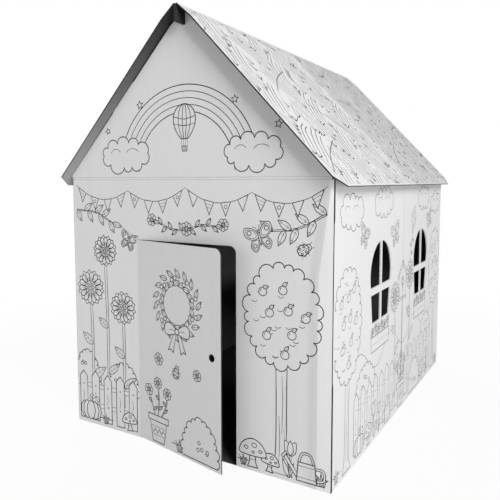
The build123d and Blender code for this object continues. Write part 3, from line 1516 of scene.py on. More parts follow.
@dataclass(frozen=True)
class Butterfly(Stamp):
    """A butterfly with open wings."""

    def draw(self, sheet: Sheet) -> None:
        """Draw the body and the wings."""
        rings = [self.stroke(((-0.04, y), (0.04, y))) for y in (-0.1, 0.0, 0.1)]
        sheet.shape(self.at(oval(0, 0, 0.09, 0.5)), Pen.FINE, rings)
        upper = ((0.03, 0.05), (0.16, 0.36), (0.5, 0.47), (0.55, 0.2), (0.3, 0.0))
        lower = ((0.03, 0.0), (0.3, -0.02), (0.42, -0.24), (0.26, -0.44), (0.08, -0.25))
        for side in (-1, 1):
            feeler = smooth(((0.02, 0.24), (0.08, 0.4), (0.18, 0.46)), parts=4) * (side, 1)
            sheet.line(self.at(feeler), Pen.HAIR)
            for wing, (x, y, wide) in ((upper, (0.36, 0.27, 0.17)), (lower, (0.25, -0.22, 0.14))):
                outline = smooth(np.array(wing) * (side, 1), True)
                middle = outline.mean(axis=0)
                marks = [self.stroke((outline - middle) * 0.72 + middle, Pen.HAIR, True),
                         self.stroke(oval(x * side, y, wide, wide), Pen.FINE, True)]
                sheet.shape(self.at(outline), Pen.FINE, marks)


@dataclass(frozen=True)
class Ladybird(Stamp):
    """A small spotted beetle."""

    def draw(self, sheet: Sheet) -> None:
        """Draw the wing cases and the head."""
        spots = [self.stroke(oval(x, y, 0.16, 0.16), Pen.FINE, True)
                 for x in (-0.2, 0.16) for y in (-0.2, 0.2)]
        seam = self.stroke(((-0.42, 0), (0.42, 0)), Pen.FINE)
        sheet.shape(self.at(oval(0, 0, 1.0, 0.84)), Pen.PLAIN, [seam, *spots])
        sheet.shape(self.at(oval(0.5, 0, 0.4, 0.5)), Pen.FINE)
        for side in (-1, 1):
            feeler = smooth(((0.64, 0.1 * side), (0.78, 0.2 * side), (0.9, 0.18 * side)), parts=3)
            sheet.line(self.at(feeler), Pen.HAIR)
            for x in (-0.3, 0.0, 0.28):
                sheet.line(self.at(((x, 0.36 * side), (x - 0.04, 0.56 * side))), Pen.HAIR)


@dataclass(frozen=True)
class Star(Stamp):
    """A five-pointed star."""

    def draw(self, sheet: Sheet) -> None:
        """Draw the star."""
        radii = np.tile((1.0, 0.46), 5)
        angles = np.radians(90.0 + np.arange(10) * 36.0)
        points = np.column_stack((np.cos(angles), np.sin(angles))) * radii[:, None]
        sheet.shape(self.at(points), Pen.FINE)


@dataclass(frozen=True)
class Moon(Stamp):
    """A crescent moon."""

    def draw(self, sheet: Sheet) -> None:
        """Draw the crescent."""
        outer = oval(0, 0, 2, 2, start=50, end=310)
        inner = oval(0.42, 0, 1.56, 1.56, start=78, end=282)[::-1]
        sheet.shape(self.at(np.vstack((outer, inner))), Pen.PLAIN)


@dataclass(frozen=True)
class Kite(Stamp):
    """A kite with a tail of bows."""

    def draw(self, sheet: Sheet) -> None:
        """Draw the kite and its tail."""
        corners = np.array(((0, 0.6), (-0.4, 0.1), (0, -0.6), (0.4, 0.1)))
        spars = [self.stroke(corners[[0, 2]], Pen.FINE), self.stroke(corners[[1, 3]], Pen.FINE)]
        sheet.shape(self.at(corners), Pen.PLAIN, [*spars, self.stroke(corners * 0.62, Pen.HAIR, True)])
        tail = smooth(((0, -0.6), (0.18, -0.85), (-0.08, -1.1), (0.16, -1.4), (0.0, -1.7)), parts=6)
        for index in (6, 12, 18):
            for side in (-1, 1):
                bow = np.array(((0, 0), (0.13 * side, 0.08), (0.13 * side, -0.08))) + tail[index]
                sheet.shape(self.at(bow), Pen.FINE)
        sheet.line(self.at(tail), Pen.FINE)


@dataclass(frozen=True)
class Pumpkin(Stamp):
    """A ribbed pumpkin that stands on x, y."""

    def draw(self, sheet: Sheet) -> None:
        """Draw the stalk, the ribs and a curling tendril."""
        stalk = ((-0.05, 0.7), (0.06, 0.7), (0.04, 0.86), (0.14, 0.94), (0.06, 0.98), (-0.05, 0.88))
        sheet.shape(self.at(stalk), Pen.FINE)
        sheet.shape(self.at(oval(0, 0.36, 0.42, 0.72)), Pen.PLAIN)
        for shift, high in ((0.18, 0.70), (0.30, 0.62)):
            for side in (-1, 1):
                sheet.shape(self.at(oval(shift * side, 0.36, 0.42, high)), Pen.PLAIN)
        curl = smooth(((0.1, 0.78), (0.3, 0.91), (0.42, 0.78), (0.34, 0.7), (0.3, 0.78)), parts=5)
        sheet.line(self.at(curl), Pen.FINE)


@dataclass(frozen=True)
class Pot(Standing):
    """A clay pot of flowers."""

    size: float
    tall: float

    def draw(self, sheet: Sheet) -> None:
        """Draw the pot, the blossoms and their stems."""
        sheet.shape(put(block(-0.5, 0.7, 0.5, 0.9), self.x, self.base, self.size), Pen.PLAIN)
        body = np.array(((-0.28, 0), (0.28, 0), (0.42, 0.7), (-0.42, 0.7)))
        zigzag = [(-0.35 + 0.1 * k, 0.3 if k % 2 else 0.45) for k in range(8)]
        lines = [((-0.36, 0.52), (0.36, 0.52)), ((-0.32, 0.23), (0.32, 0.23))]
        marks = [Stroke(put(mark, self.x, self.base, self.size), Pen.FINE) for mark in (zigzag, *lines)]
        sheet.shape(put(body, self.x, self.base, self.size), Pen.PLAIN, marks)
        top = self.base + self.size * 0.9
        for share, rise, petals in ((0.0, 1.0, 8), (-0.42, 0.72, 6), (0.42, 0.76, 7)):
            x = self.x + share * self.size * 1.1
            Blossom(x, top + self.tall * rise, self.size * 0.2, petals, 10.0).draw(sheet)
            foot = self.x + share * self.size * 0.4
            Stem(foot, top, x, top + self.tall * rise, 2.6, self.size * 0.26).draw(sheet)


@dataclass(frozen=True)
class Birdhouse(Standing):
    """A birdhouse on a pole."""

    high: float
    size: float

    def draw(self, sheet: Sheet) -> None:
        """Draw the roof, the box and the pole."""

        def at(points: Sequence) -> Outline:
            """Bring points of a box of size 1 to their place."""
            return put(points, self.x, self.base + self.high, self.size)

        for side in (-1, 1):
            board = np.array(((0, 1.5), (0.72, 0.86), (0.78, 0.98), (0, 1.66))) * (side, 1)
            sheet.shape(at(board), Pen.PLAIN)
        sheet.shape(at(oval(0, 0.72, 0.3, 0.3)), Pen.FINE)
        marks = [Stroke(at(((x, 0.02), (x, 0.4))), Pen.HAIR) for x in (-0.25, 0, 0.25)]
        marks.append(Stroke(at(oval(0, 0.72, 0.42, 0.42)), Pen.FINE, True))
        marks.append(Stroke(at(oval(0, 0.46, 0.08, 0.08)), Pen.FINE, True))
        sheet.shape(at(((-0.5, 0), (0.5, 0), (0.5, 1.06), (0, 1.5), (-0.5, 1.06))), Pen.PLAIN, marks)
        sheet.shape(at(block(-0.62, -0.1, 0.62, 0)), Pen.FINE)
        half = self.size * 0.08
        pole = block(-half, 0, half, self.high)
        knots = ((0, self.high * 0.1), (half * 0.4, self.high * 0.4), (-half * 0.2, self.high * 0.8))
        grain = Stroke(put(smooth(knots, parts=4), self.x, self.base), Pen.HAIR)
        sheet.shape(put(pole, self.x, self.base), Pen.PLAIN, [grain])


@dataclass(frozen=True)
class WateringCan(Standing):
    """A watering can, its spout to the right (1) or the left (-1)."""

    size: float
    facing: int = 1

    def draw(self, sheet: Sheet) -> None:
        """Draw the body, the spout and the handle."""

        def at(points: Sequence) -> Outline:
            """Bring points of a can of size 1 to their place."""
            return put(np.asarray(points, float) * (self.facing, 1), self.x, self.base, self.size)

        bands = [Stroke(at(((-0.33, y), (0.33, y))), Pen.FINE) for y in (0.12, 0.48)]
        sheet.shape(at(((-0.34, 0), (0.34, 0), (0.28, 0.6), (-0.28, 0.6))), Pen.PLAIN, bands)
        sheet.shape(at(((0.66, 0.78), (0.8, 0.62), (0.86, 0.68), (0.72, 0.84))), Pen.FINE)
        spout = evenly(np.array(((0.3, 0.12), (0.74, 0.7))), False, 0.2)
        sheet.shape(at(band(spout, 0.11)), Pen.PLAIN)
        grip = smooth(((-0.25, 0.6), (-0.12, 0.88), (0.14, 0.88), (0.26, 0.6)), parts=5)
        sheet.shape(at(band(grip, 0.07)), Pen.FINE)
        back = smooth(((-0.28, 0.5), (-0.56, 0.48), (-0.58, 0.2), (-0.34, 0.12)), parts=5)
        sheet.shape(at(band(back, 0.07)), Pen.FINE)


@dataclass(frozen=True)
class FlowerBox(Motif):
    """A box of flowers under a window."""

    x: float
    top: float
    wide: float
    high: float

    def draw(self, sheet: Sheet) -> None:
        """Draw the box and what grows in it."""
        low = self.top - self.high
        half = self.wide / 2
        rim = self.high * 0.6
        board = Stroke(put(((-half * 0.95, rim / 2), (half * 0.95, rim / 2)), self.x, low), Pen.HAIR)
        box = ((-half * 0.94, 0), (half * 0.94, 0), (half, rim), (-half, rim))
        sheet.shape(put(box, self.x, low), Pen.PLAIN, [board])
        count = round(self.wide / 24)
        for index in range(count):
            x = self.x + (index + 0.5 - count / 2) * self.wide / count
            y = low + self.high * (0.95 if index % 2 else 0.82)
            Blossom(x, y, 10.0, 6, index * 25.0).draw(sheet)
            Leaf(x - 3, low + self.high * 0.55, 15, 8, 60 if index % 2 else 130, 0).draw(sheet)


@dataclass(frozen=True)
class Wreath(Placed):
    """A door wreath of leaves and berries with a bow."""

    radius: float
    leaves: int = 18

    def draw(self, sheet: Sheet) -> None:
        """Draw the bow, the berries and the leaves."""
        low = self.y - self.radius
        sheet.shape(oval(self.x, low, 13, 12), Pen.PLAIN)
        for side in (-1, 1):
            loop = smooth(np.array(((0, 0), (22, 17), (38, 10), (36, -8), (18, -9))) * (side, 1), True)
            crease = smooth(np.array(((5, 0), (16, 3), (25, 1))) * (side, 1), parts=4)
            sheet.shape(put(loop, self.x, low), Pen.PLAIN, [Stroke(put(crease, self.x, low), Pen.HAIR)])
            ribbon = np.array(((2, -3), (10, -5), (27, -42), (19, -40), (12, -46))) * (side, 1)
            sheet.shape(put(ribbon, self.x, low), Pen.PLAIN)
        for index in range(self.leaves // 2):
            angle = index * math.tau / (self.leaves // 2) + 0.35
            x, y = self.x + self.radius * math.cos(angle), self.y + self.radius * math.sin(angle)
            for shift in (-5, 5):
                sheet.shape(oval(x + shift, y + shift * 0.5, 9, 9), Pen.FINE)
        for index in range(self.leaves):
            angle = 360.0 * index / self.leaves
            for out, lean in ((1.06, 50.0), (0.94, 128.0)):
                x = self.x + self.radius * out * math.cos(math.radians(angle))
                y = self.y + self.radius * out * math.sin(math.radians(angle))
                Leaf(x, y, self.radius * 0.42, self.radius * 0.2, angle + lean, 2).draw(sheet)


@dataclass(frozen=True)
class Hills(Motif):
    """A rolling skyline behind the garden."""

    start: float
    end: float
    base: float
    high: float
    waves: int = 3

    def draw(self, sheet: Sheet) -> None:
        """Draw the skyline."""
        share = np.linspace(0.0, 1.0, 12 * self.waves)
        x = self.start + (self.end - self.start) * share
        y = self.base + self.high * (0.62 + 0.38 * np.sin(share * math.tau * self.waves + 0.8))
        sheet.line(np.column_stack((x, y)), Pen.FINE)


# The pictures

def front_picture() -> Sheet:
    """Garden round the door and a rainbow in the gable; it runs over the door as well."""
    return Sheet().add(
        Mushroom(492, 8, 62), Mushroom(530, 8, 40, -6), WateringCan(610, 8, 62, -1),
        Tulip(572, 8, 74, 4), Grass(640, 8, 26), Grass(470, 8, 20),
        Tree(556, 10, 322, 150, 190, 8, 3),
        Butterfly(508, 470, 56, 18), Ladybird(600, 452, 26, 30),
        Pumpkin(44, 8, 66), Grass(92, 8, 22), Mushroom(168, 8, 44, 5),
        Fence(10, 190, 10, 116),
        Sunflower(54, 60, 52, 330, 38), Sunflower(150, 60, 152, 292, 34), Sunflower(104, 60, 100, 420, 32),
        Butterfly(172, 446, 44, -20), Bush(150, 90, 90, 70, 4), Bush(36, 90, 80, 86, 5),
        Wreath(326, 322, 56),
        Blossom(266, 196, 14, 7), Blossom(386, 186, 12, 6, 20), Ladybird(322, 176, 24, 75),
        Pot(262, 8, 66, 74), Bush(392, 8, 104, 86, 7), Grass(330, 8, 26),
        Bunting(FLAG_POSTS, 26),
        Twig(14, 512, 116, -14), Twig(646, 520, 128, 196), Twig(330, 478, 70, 170, 5),
        Twig(336, 478, 70, 8, 5),
        Blossom(333, 480, 15, 8), Blossom(424, 492, 13, 7, 12), Blossom(240, 496, 13, 7, 30),
        Balloon(330, 700, 62),
        Cloud(168, 636, 128, 56, 3), Cloud(492, 636, 124, 54, 5),
        Rainbow(330, 600, 122, 176),
        Star(212, 742, 9, 10), Star(452, 738, 8), Star(118, 690, 7, 20), Star(548, 686, 8, -12),
    )


def right_picture() -> Sheet:
    """Orchard and meadow round the two windows of the right wall."""
    return Sheet().add(
        FlowerBox(285, 262, 132, 56), FlowerBox(645, 262, 132, 56),
        Pumpkin(152, 8, 62), Mushroom(212, 8, 50), Tulip(252, 8, 84, -4), Tulip(284, 8, 70, 5),
        WateringCan(352, 8, 66, 1), Bush(598, 8, 110, 84, 4), Mushroom(690, 8, 58), Grass(650, 8, 28),
        Pot(462, 8, 70, 66), Tulip(736, 8, 78, 4), Grass(860, 8, 30), Grass(24, 8, 26),
        Tree(78, 8, 300, 138, 214, 9, 6), Tree(818, 8, 322, 128, 216, 8, 9),
        Birdhouse(465, 120, 168, 56), Butterfly(392, 452, 60, 14), Ladybird(532, 236, 28, 120),
        Fence(118, 776, 20, 128),
        Sunflower(404, 120, 398, 300, 34), Sunflower(528, 120, 536, 336, 36),
        Butterfly(168, 466, 50, -22), Butterfly(738, 470, 54, 20), Kite(560, 478, 62, -16),
        Cloud(96, 520, 126, 50, 2), Cloud(300, 532, 130, 48, 4), Cloud(668, 534, 128, 46, 6),
        Cloud(812, 516, 110, 46, 8),
        Bush(190, 130, 120, 60, 11), Bush(720, 130, 110, 64, 12),
        Hills(120, 780, 150, 74, 3),
    )


def left_picture() -> Sheet:
    """Wide garden with two balloons."""
    return Sheet().add(
        Pot(96, 8, 74, 78), Mushroom(166, 8, 54), Grass(200, 8, 28), Bush(310, 8, 110, 78, 21),
        Tulip(384, 8, 82, 4), Tulip(414, 8, 72, -4), Pumpkin(500, 8, 70), Grass(556, 8, 28),
        WateringCan(716, 8, 66, -1), Mushroom(774, 8, 46, 5), Pot(838, 8, 66, 60),
        Tree(232, 8, 306, 176, 222, 11, 22), Tree(620, 8, 300, 178, 214, 10, 28),
        Birdhouse(430, 130, 176, 62), Birdhouse(806, 130, 150, 56), Sunflower(728, 120, 732, 336, 36),
        Sunflower(346, 120, 340, 318, 36), Sunflower(514, 120, 520, 330, 36),
        Sunflower(104, 120, 100, 330, 36), Sunflower(46, 120, 42, 262, 32),
        Fence(20, 872, 20, 120),
        Balloon(86, 470, 84), Balloon(716, 486, 70), Kite(430, 470, 66, 18), Butterfly(330, 440, 50, 12),
        Butterfly(532, 440, 56, -16), Ladybird(160, 420, 28, 40), Butterfly(822, 430, 48, 24),
        Cloud(218, 516, 136, 52, 24), Cloud(560, 528, 150, 50, 25), Cloud(342, 538, 96, 42, 26),
        Cloud(838, 520, 90, 46, 27),
        Hills(20, 872, 150, 70, 4),
    )


def rear_picture() -> Sheet:
    """A wide garden under a night sky."""
    return Sheet().add(
        Pumpkin(52, 8, 70), Pumpkin(112, 8, 50), Grass(150, 8, 26), Mushroom(196, 8, 56),
        Pot(330, 8, 84, 96), Bush(432, 8, 116, 90, 31), Tulip(508, 8, 88, 4), Tulip(538, 8, 74, -4),
        WateringCan(604, 8, 68, 1),
        Tree(118, 8, 330, 168, 240, 10, 33), Tree(552, 8, 336, 156, 226, 9, 34),
        Fence(20, 640, 20, 126),
        Sunflower(252, 120, 244, 352, 38), Sunflower(330, 120, 332, 420, 36),
        Sunflower(408, 120, 416, 340, 38),
        Butterfly(262, 488, 56, 16), Butterfly(410, 480, 50, -18), Ladybird(330, 300, 28, 80),
        Bunting(FLAG_POSTS, 26),
        Moon(330, 712, 38),
        Cloud(178, 634, 140, 54, 35), Cloud(486, 630, 134, 52, 36), Cloud(330, 632, 90, 40, 37),
        Star(240, 720, 12, 8), Star(424, 728, 11, -8), Star(278, 780, 8), Star(384, 784, 9, 14),
        Star(140, 696, 8, 20), Star(520, 690, 9, -14), Star(392, 678, 7), Star(268, 672, 7, 12),
        Hills(20, 640, 160, 80, 3),
    )


@dataclass(frozen=True)
class Thatch:
    """Bundles of straw in courses, the upper courses over the lower.

    Args:
        long: length of the slope along the eave.
        high: height of the slope.
        course: rise of each course.
        bundle: distance from one bundle to the next.
        reach: length of a bundle.
        straws: straws drawn in a bundle.
        seed: seed of the uneven straws.
        uneven: how far a bundle stands from its place in the course.
        lean: least and most lean of a bundle.
        stalks: foot of each loose stalk, and the side to which it leans.
    """

    long: float
    high: float
    course: float = 56.0
    bundle: float = 88.0
    reach: float = 130.0
    straws: int = 9
    seed: int = 5
    uneven: float = 8.0
    lean: tuple[float, float] = (28.0, 50.0)
    stalks: tuple[tuple[float, float, int], ...] = (
        (20, 30, 1), (110, 262, 1), (360, 150, -1), (520, 60, 1), (700, 220, -1),
    )

    def sheet(self) -> Sheet:
        """Draw every bundle from the ridge down.

        Returns:
            The drawing.
        """
        drawing = Sheet()
        chance = random.Random(self.seed)
        for x, y, way in self.stalks:
            path = ((x, y), (x + 64 * way, y + 52), (x + 150 * way, y + 96))
            drawing.line(smooth(path, parts=6), Pen.PLAIN)
        courses = math.ceil(self.high / self.course) + 1
        for row in reversed(range(courses)):
            offset = (row % 2) * self.bundle / 2
            order = list(range(-2, math.ceil(self.long / self.bundle) + 2))
            for index in order[::2] + order[1::2]:
                x = offset + index * self.bundle + chance.uniform(-self.uneven, self.uneven)
                y = row * self.course - self.course * 0.35 + chance.uniform(-self.uneven, self.uneven)
                side = 1 if (index + row) % 2 else -1
                self.draw_bundle(drawing, x, y, side * chance.uniform(*self.lean), chance)
        return drawing

    def draw_bundle(self, drawing: Sheet, x: float, y: float, lean: float, chance: random.Random) -> None:
        """Draw one bundle.

        Args:
            drawing: the sheet.
            x: its tip.
            y: its tip.
            lean: how far it leans from straight up the slope.
            chance: source of uneven straws.
        """
        half = self.bundle * 0.6
        turn = 90.0 + lean
        curl = -math.copysign(0.3, lean)
        tips = []
        for index in range(self.straws):
            side = 2.0 * index / (self.straws - 1) - 1.0
            tip = 16.0 * side * side + chance.uniform(-7.0, 7.0)
            tips.append((tip, side * half))
            bow = curl * half * (1.0 - side * side * 0.4)
            knots = (
                (tip, side * half),
                (self.reach * 0.3, side * half * 0.97 + bow * 0.6 + chance.uniform(-2.0, 2.0)),
                (self.reach * 0.62, side * half * 0.92 + bow + chance.uniform(-2.0, 2.0)),
                (self.reach * chance.uniform(0.8, 1.0), side * half * 0.8 + bow * 0.5),
            )
            drawing.line(put(smooth(knots, parts=4), x, y, turn=turn), Pen.PLAIN)
        frill = [tips[0]]
        for (x0, y0), (x1, y1) in zip(tips, tips[1:]):
            low = (min(x0, x1) - 5.0, y0 * 0.4 + y1 * 0.6)
            frill += [low, (x1, y1)]
            if chance.random() < 0.32:
                hook = smooth(((x0 + 6.0, y0), (x0 - 2.0, y0 * 0.8 + y1 * 0.2), low, (x1 + 2.0, y1)), parts=4)
                drawing.line(put(hook, x, y, turn=turn), Pen.STRAW)
        back = ((self.reach * 0.5, half * 1.02), (self.reach, half * 0.8),
                (self.reach, -half * 0.8), (self.reach * 0.5, -half * 1.02))
        outline = np.vstack((smooth(frill, parts=2), smooth(back, parts=3)))
        drawing.hide(put(outline, x, y, turn=turn))


# Printing on the house

@dataclass(frozen=True)
class HouseFace:
    """A flat outer face of the house, seen from outside.

    Args:
        name: name of its print.
        body: the body that carries it.
        corner: its lower left corner.
        across: direction to the right.
        up: direction up the face.
        fold_high: height where the face bends, in millimetres.
        fold_up: direction up the face above the bend, or None for a flat face.
        pen_share: width of its lines, as a share of the pen's.
    """

    name: str
    body: str
    corner: Vector
    across: Vector
    up: Vector
    fold_high: float = 0.0
    fold_up: Vector | None = None
    pen_share: float = 1.0

    def place(self, flat: np.ndarray) -> np.ndarray:
        """Bring flat points to the face.

        Args:
            flat: points in metres across, up and out of the face.

        Returns:
            The points in the model's frame.
        """
        across, up = np.array(self.across), np.array(self.up)
        climb = flat[:, 1:2] * up
        out = np.cross(across, up)
        if self.fold_up is not None:
            bend = self.fold_high * MM
            above = flat[:, 1:2] > bend
            fold_up = np.array(self.fold_up)
            climb = np.where(above, bend * up + (flat[:, 1:2] - bend) * fold_up, climb)
            out = np.where(above, np.cross(across, fold_up), out)
        return np.array(self.corner) + flat[:, :1] * across + climb + flat[:, 2:] * out


@dataclass
class Press:
    """Prints drawings on the faces of the house.

    Args:
        plan: the house.
        ink: the ink.
        flat_share: height of a line, as a share of half its width.
        lift: how far the lines' middle stands out of the face.
        unit: half width of a line of radius 1.
        wall_edge: bare margin of a wall, in millimetres.
        peak_bare: bare height under the gable's peak, in millimetres.
        roof_edge: bare margin of the roof, in millimetres.
        roof_past_bend: how far the print runs past the roof's bend, in millimetres.
    """

    plan: HousePlan
    ink: bpy.types.Material
    flat_share: float = 0.1
    lift: float = 0.00005
    unit: float = 0.001
    wall_edge: float = 5.0
    peak_bare: float = 9.0
    roof_edge: float = 4.0
    roof_past_bend: float = 36.0

    def print_sheet(self, face: HouseFace, sheet: Sheet, keep: Outline, holes: Sequence[Outline]) -> None:
        """Print a drawing within an outline and round its holes.

        Args:
            face: where it goes.
            sheet: the drawing.
            keep: outline of what is printed.
            holes: outlines that stay bare.
        """

        def printable(points: Outline) -> np.ndarray:
            """Tell which points get ink.

            Args:
                points: the points.

            Returns:
                True for each point with ink.
            """
            good = inside(keep, points)
            for hole in holes:
                good &= ~inside(hole, points)
            return good

        parts = [part for stroke in sheet.strokes for part in kept_parts(stroke, printable)]
        curve = bpy.data.curves.new(face.name, "CURVE")
        curve.dimensions = "2D"
        curve.fill_mode = "NONE"
        curve.bevel_depth = self.unit
        curve.bevel_resolution = 0
        curve.use_fill_caps = True
        for part in parts:
            self.add_line(curve, part, face.pen_share)
        piece = bpy.data.objects.new(face.name, curve)
        bpy.context.scene.collection.objects.link(piece)
        bpy.ops.object.select_all(action="DESELECT")
        piece.select_set(True)
        bpy.context.view_layer.objects.active = piece
        bpy.ops.object.convert(target="MESH")
        piece = bpy.context.object
        mesh = piece.data
        flat = np.empty(len(mesh.vertices) * 3)
        mesh.vertices.foreach_get("co", flat)
        flat = flat.reshape(-1, 3) * (1.0, 1.0, self.flat_share) + (0.0, 0.0, self.lift)
        mesh.vertices.foreach_set("co", face.place(flat).ravel())
        mesh.update()
        mesh.materials.clear()
        mesh.materials.append(self.ink)
        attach(piece, face.body)
        log.info("printed %s: %d lines, %d faces", face.name, len(parts), len(mesh.polygons))

    def add_line(self, curve: bpy.types.Curve, stroke: Stroke, pen_share: float) -> None:
        """Add a stroke to a curve, thinner towards its ends.

        Args:
            curve: the curve.
            stroke: the stroke.
            pen_share: its width, as a share of its pen's.
        """
        ring = np.vstack((stroke.points, stroke.points[:1])) if stroke.closed else stroke.points
        points = plainer(ring)
        if stroke.closed:
            points = points[:-1]
        count = len(points)
        radius = np.full(count, stroke.pen.value * pen_share / 2 * MM / self.unit)
        if not stroke.closed:
            radius[[0, -1]] *= 0.6
        spline = curve.splines.new("POLY")
        spline.points.add(count - 1)
        places = np.column_stack((points * MM, np.zeros(count), np.ones(count)))
        spline.points.foreach_set("co", places.ravel())
        spline.points.foreach_set("radius", radius)
        spline.use_cyclic_u = stroke.closed

    def grown_window(self, middle: float, margin: float = 4.0) -> Outline:
        """A window's outline with a bare margin, round its middle.

        Args:
            middle: the window's middle along the wall.
            margin: width of the margin.

        Returns:
            The outline.
        """
        plan = self.plan
        half = plan.window_sill_wide / 2 / MM + margin
        radius = plan.window_arch_radius / MM + margin
        arch = oval(middle, plan.window_arch_high / MM, 2 * radius, 2 * radius, start=0, end=180)
        sill = plan.window_sill_high / MM - margin
        return np.vstack((arch, ((middle - half, sill), (middle + half, sill))))

    def print_walls(self) -> None:
        """Print the four walls and the door."""
        plan, edge = self.plan, self.wall_edge
        wide, long = (plan.right - plan.left) / MM, (plan.rear - plan.front) / MM
        top = plan.wall_top / MM
        peak = top + (wide / 2 - edge) * plan.slope - self.peak_bare
        gable = np.array(((edge, edge), (wide - edge, edge), (wide - edge, top),
                          (wide / 2, peak), (edge, top)))
        side = block(edge + 4, 2, long - edge, top - 4)
        hinge, door_top = plan.door_from_left / MM, plan.door_high / MM
        free = hinge + plan.door_wide / MM
        doorway = block(hinge - 3, -9, free + 2.5, door_top + 2.5)
        inset, corner_cut = 4.0, 16.0
        door = np.array(((hinge + 3, inset), (free - inset, inset), (free - inset, door_top - corner_cut),
                         (free - corner_cut, door_top - inset), (hinge + 3, door_top - inset)))
        hole_wide = 2 * plan.finger_hole / MM + 6
        hole = oval(free - plan.finger_hole_from_edge / MM, plan.finger_hole_high / MM, hole_wide, hole_wide)
        offset, crease = plan.window_from_crease / MM, plan.side_crease / MM
        windows = [self.grown_window(crease - offset), self.grown_window(crease + offset)]
        turn = math.radians(plan.door_ajar)
        swung = Vector((math.cos(turn), -math.sin(turn), 0))
        door_left = Vector((plan.hinge, plan.front, 0)) - swung * plan.door_from_left
        front_left, front_right, rear_left, rear_right = (
            Vector((x, y, 0)) for y in (plan.front, plan.rear) for x in (plan.left, plan.right)
        )
        rightward, rearward = Vector((1, 0, 0)), Vector((0, 1, 0))
        front = front_picture()
        left_side = side * (-1, 1) + (long, 0)
        for name, body, corner, across, sheet, keep, holes, pen_share in (
            ("front_print", "house", front_left, rightward, front, gable, [doorway], 1.0),
            ("door_print", "door", door_left, swung, front, door, [hole], 1.0),
            ("right_wall_print", "house", front_right, rearward, right_picture(), side, windows, 0.72),
            ("left_wall_print", "house", rear_left, -rearward, left_picture(), left_side, [], 0.8),
            ("rear_wall_print", "house", rear_right, -rightward, rear_picture(), gable, [], 1.0),
        ):
            face = HouseFace(name, body, corner, across, Vector((0, 0, 1)), pen_share=pen_share)
            self.print_sheet(face, sheet, keep, holes)

    def print_roof(self) -> None:
        """Print both slopes of the roof."""
        plan, edge = self.plan, self.roof_edge
        main, ridge = math.radians(plan.roof_pitch), math.radians(plan.ridge_pitch)
        eave = plan.right + plan.eave_overhang
        eave_high = plan.wall_top + plan.seat_gap - plan.eave_overhang * plan.slope
        bend = (eave - plan.shoulder_wide) / math.cos(main) / MM
        long, high = (plan.roof_rear - plan.roof_front) / MM, bend + self.roof_past_bend
        cut_along, cut_up = plan.corner_cut_along / MM + edge, plan.corner_cut_up / MM + edge
        keep = np.array(((cut_along, edge), (long - cut_along, edge), (long - edge, cut_up),
                         (long - edge, high), (edge, high), (edge, cut_up)))
        slit_x = (plan.front - plan.roof_front + plan.slit_from_front) / MM
        low, tall = plan.slit_up / MM - 3.0, plan.slit_long / MM + 6.0
        out, up = eave + plan.board * math.sin(main), eave_high + plan.board * math.cos(main)
        for side, name, start, x in (
            (1, "roof_print_right", plan.roof_front, slit_x),
            (-1, "roof_print_left", plan.roof_rear, long - slit_x),
        ):
            face = HouseFace(
                name, "house", Vector((side * out, start, up)), Vector((0, side, 0)),
                Vector((-side * math.cos(main), 0, math.sin(main))), bend,
                Vector((-side * math.cos(ridge), 0, math.sin(ridge))),
            )
            slit = block(x - 3, low, x + 3, low + tall)
            self.print_sheet(face, Thatch(long, high, seed=5 + side).sheet(), keep, [slit])


# Light, floor and camera

@dataclass(frozen=True)
class Lamp:
    """A soft square lamp.

    Args:
        name: its name.
        place: where it hangs.
        size: its width.
        power: its power in watts.
    """

    name: str
    place: tuple[float, float, float]
    size: float
    power: float

    def hang(self, aim: Vector) -> None:
        """Make the lamp.

        Args:
            aim: the point that it shines at.
        """
        data = bpy.data.lights.new(self.name, "AREA")
        data.size = self.size
        data.energy = self.power
        lamp = bpy.data.objects.new(self.name, data)
        bpy.context.scene.collection.objects.link(lamp)
        lamp.location = self.place
        lamp.rotation_euler = (aim - Vector(self.place)).to_track_quat("-Z", "Y").to_euler()


@dataclass(frozen=True)
class PhotoCamera:
    """The camera at the photograph's place, solved from the house's corners.

    Args:
        place: where it stands.
        lens: focal length, in millimetres.
        sensor: width of its sensor, in millimetres.
        shift: shift of the picture to the right and up, as a share of its width.
        turn_left: its turn from straight ahead.
        look_down: its tilt below level.
        near: nearest distance that it sees.
        far: furthest distance that it sees.
    """

    place: tuple[float, float, float] = (0.7051, -1.3677, 0.5799)
    lens: float = 40.42
    sensor: float = 36.0
    shift: tuple[float, float] = (-0.0021, -0.0456)
    turn_left: float = 30.26
    look_down: float = 4.72
    near: float = 0.05
    far: float = 60.0

    def stand(self) -> None:
        """Make the camera and use it."""
        data = bpy.data.cameras.new("photo_camera")
        data.lens = self.lens
        data.sensor_width = self.sensor
        data.shift_x, data.shift_y = self.shift
        data.clip_start = self.near
        data.clip_end = self.far
        camera = bpy.data.objects.new("photo_camera", data)
        bpy.context.scene.collection.objects.link(camera)
        camera.location = self.place
        tilt = math.radians(90.0) - math.radians(self.look_down)
        camera.rotation_euler = (tilt, 0.0, math.radians(self.turn_left))
        bpy.context.scene.camera = camera


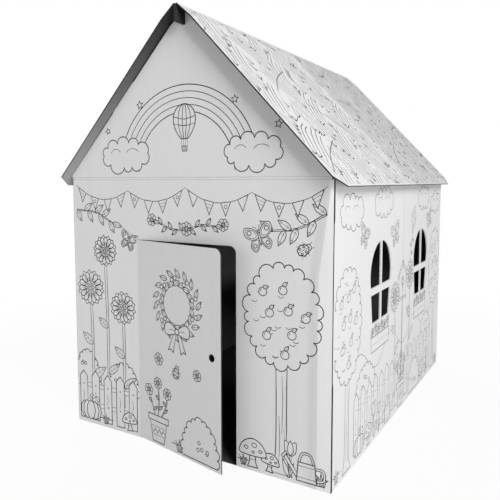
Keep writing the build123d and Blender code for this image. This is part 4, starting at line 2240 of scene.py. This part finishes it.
@dataclass
class Studio:
    """White floor, soft lamps and the camera.

    Args:
        plan: the house.
        floor_size: width of the floor.
        sky: strength of the light from all round.
        aim: the point that the lamps shine at.
        lamps: the lamps.
    """

    plan: HousePlan
    floor_size: float = 40.0
    sky: float = 0.14
    aim: tuple[float, float, float] = (0.0, 0.0, 0.45)
    lamps: tuple[Lamp, ...] = (
        Lamp("key_lamp", (3.2, -2.0, 2.7), 2.0, 122.0),
        Lamp("side_lamp", (3.3, -2.0, 0.42), 0.35, 24.0),
        Lamp("fill_lamp", (-1.3, -2.1, 0.35), 1.5, 11.0),
        Lamp("back_lamp", (-2.5, 2.3, 2.2), 2.2, 95.0),
    )

    def build_floor(self) -> None:
        """Lay the floor."""
        bpy.ops.object.select_all(action="DESELECT")
        bpy.ops.mesh.primitive_plane_add(size=self.floor_size, location=(0.0, 0.0, 0.0))
        floor = bpy.context.object
        floor.name = "studio_floor"
        floor.data.materials.append(FloorFinish().build(self.plan))

    def light_world(self) -> None:
        """Light from all round, shown white to the camera."""
        world = bpy.data.worlds.new("studio_world")
        bpy.context.scene.world = world
        world.use_nodes = True
        tree = world.node_tree
        tree.nodes.clear()
        ray, soft, white, seen, blend, out = (
            tree.nodes.new(kind)
            for kind in ("ShaderNodeLightPath", "ShaderNodeBackground", "ShaderNodeBackground",
                         "ShaderNodeMath", "ShaderNodeMixShader", "ShaderNodeOutputWorld")
        )
        soft.inputs["Strength"].default_value = self.sky
        for shown in (soft, white):
            shown.inputs["Color"].default_value = grey(1.0)
        seen.operation = "MAXIMUM"
        for source, target in (
            (ray.outputs["Is Camera Ray"], seen.inputs[0]), (ray.outputs["Is Glossy Ray"], seen.inputs[1]),
            (seen.outputs[0], blend.inputs["Fac"]), (soft.outputs[0], blend.inputs[1]),
            (white.outputs[0], blend.inputs[2]), (blend.outputs[0], out.inputs["Surface"]),
        ):
            tree.links.new(source, target)

    def build(self) -> None:
        """Make the whole studio."""
        self.build_floor()
        self.light_world()
        for lamp in self.lamps:
            lamp.hang(Vector(self.aim))
        PhotoCamera().stand()
        bpy.context.scene.view_settings.view_transform = "Standard"
        log.info("studio is ready")


def save_sizes() -> None:
    """Update the view layer."""
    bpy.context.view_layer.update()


def main() -> None:
    """Dress and print the house, and set the stage."""
    logging.basicConfig(level=logging.INFO, format="%(name)s: %(message)s")
    plan = HousePlan()
    FoldedSheets(plan).dress()
    press = Press(plan, InkFinish().build())
    press.print_walls()
    press.print_roof()
    Studio(plan).build()
    save_sizes()


if __name__ == "__main__":
    main()
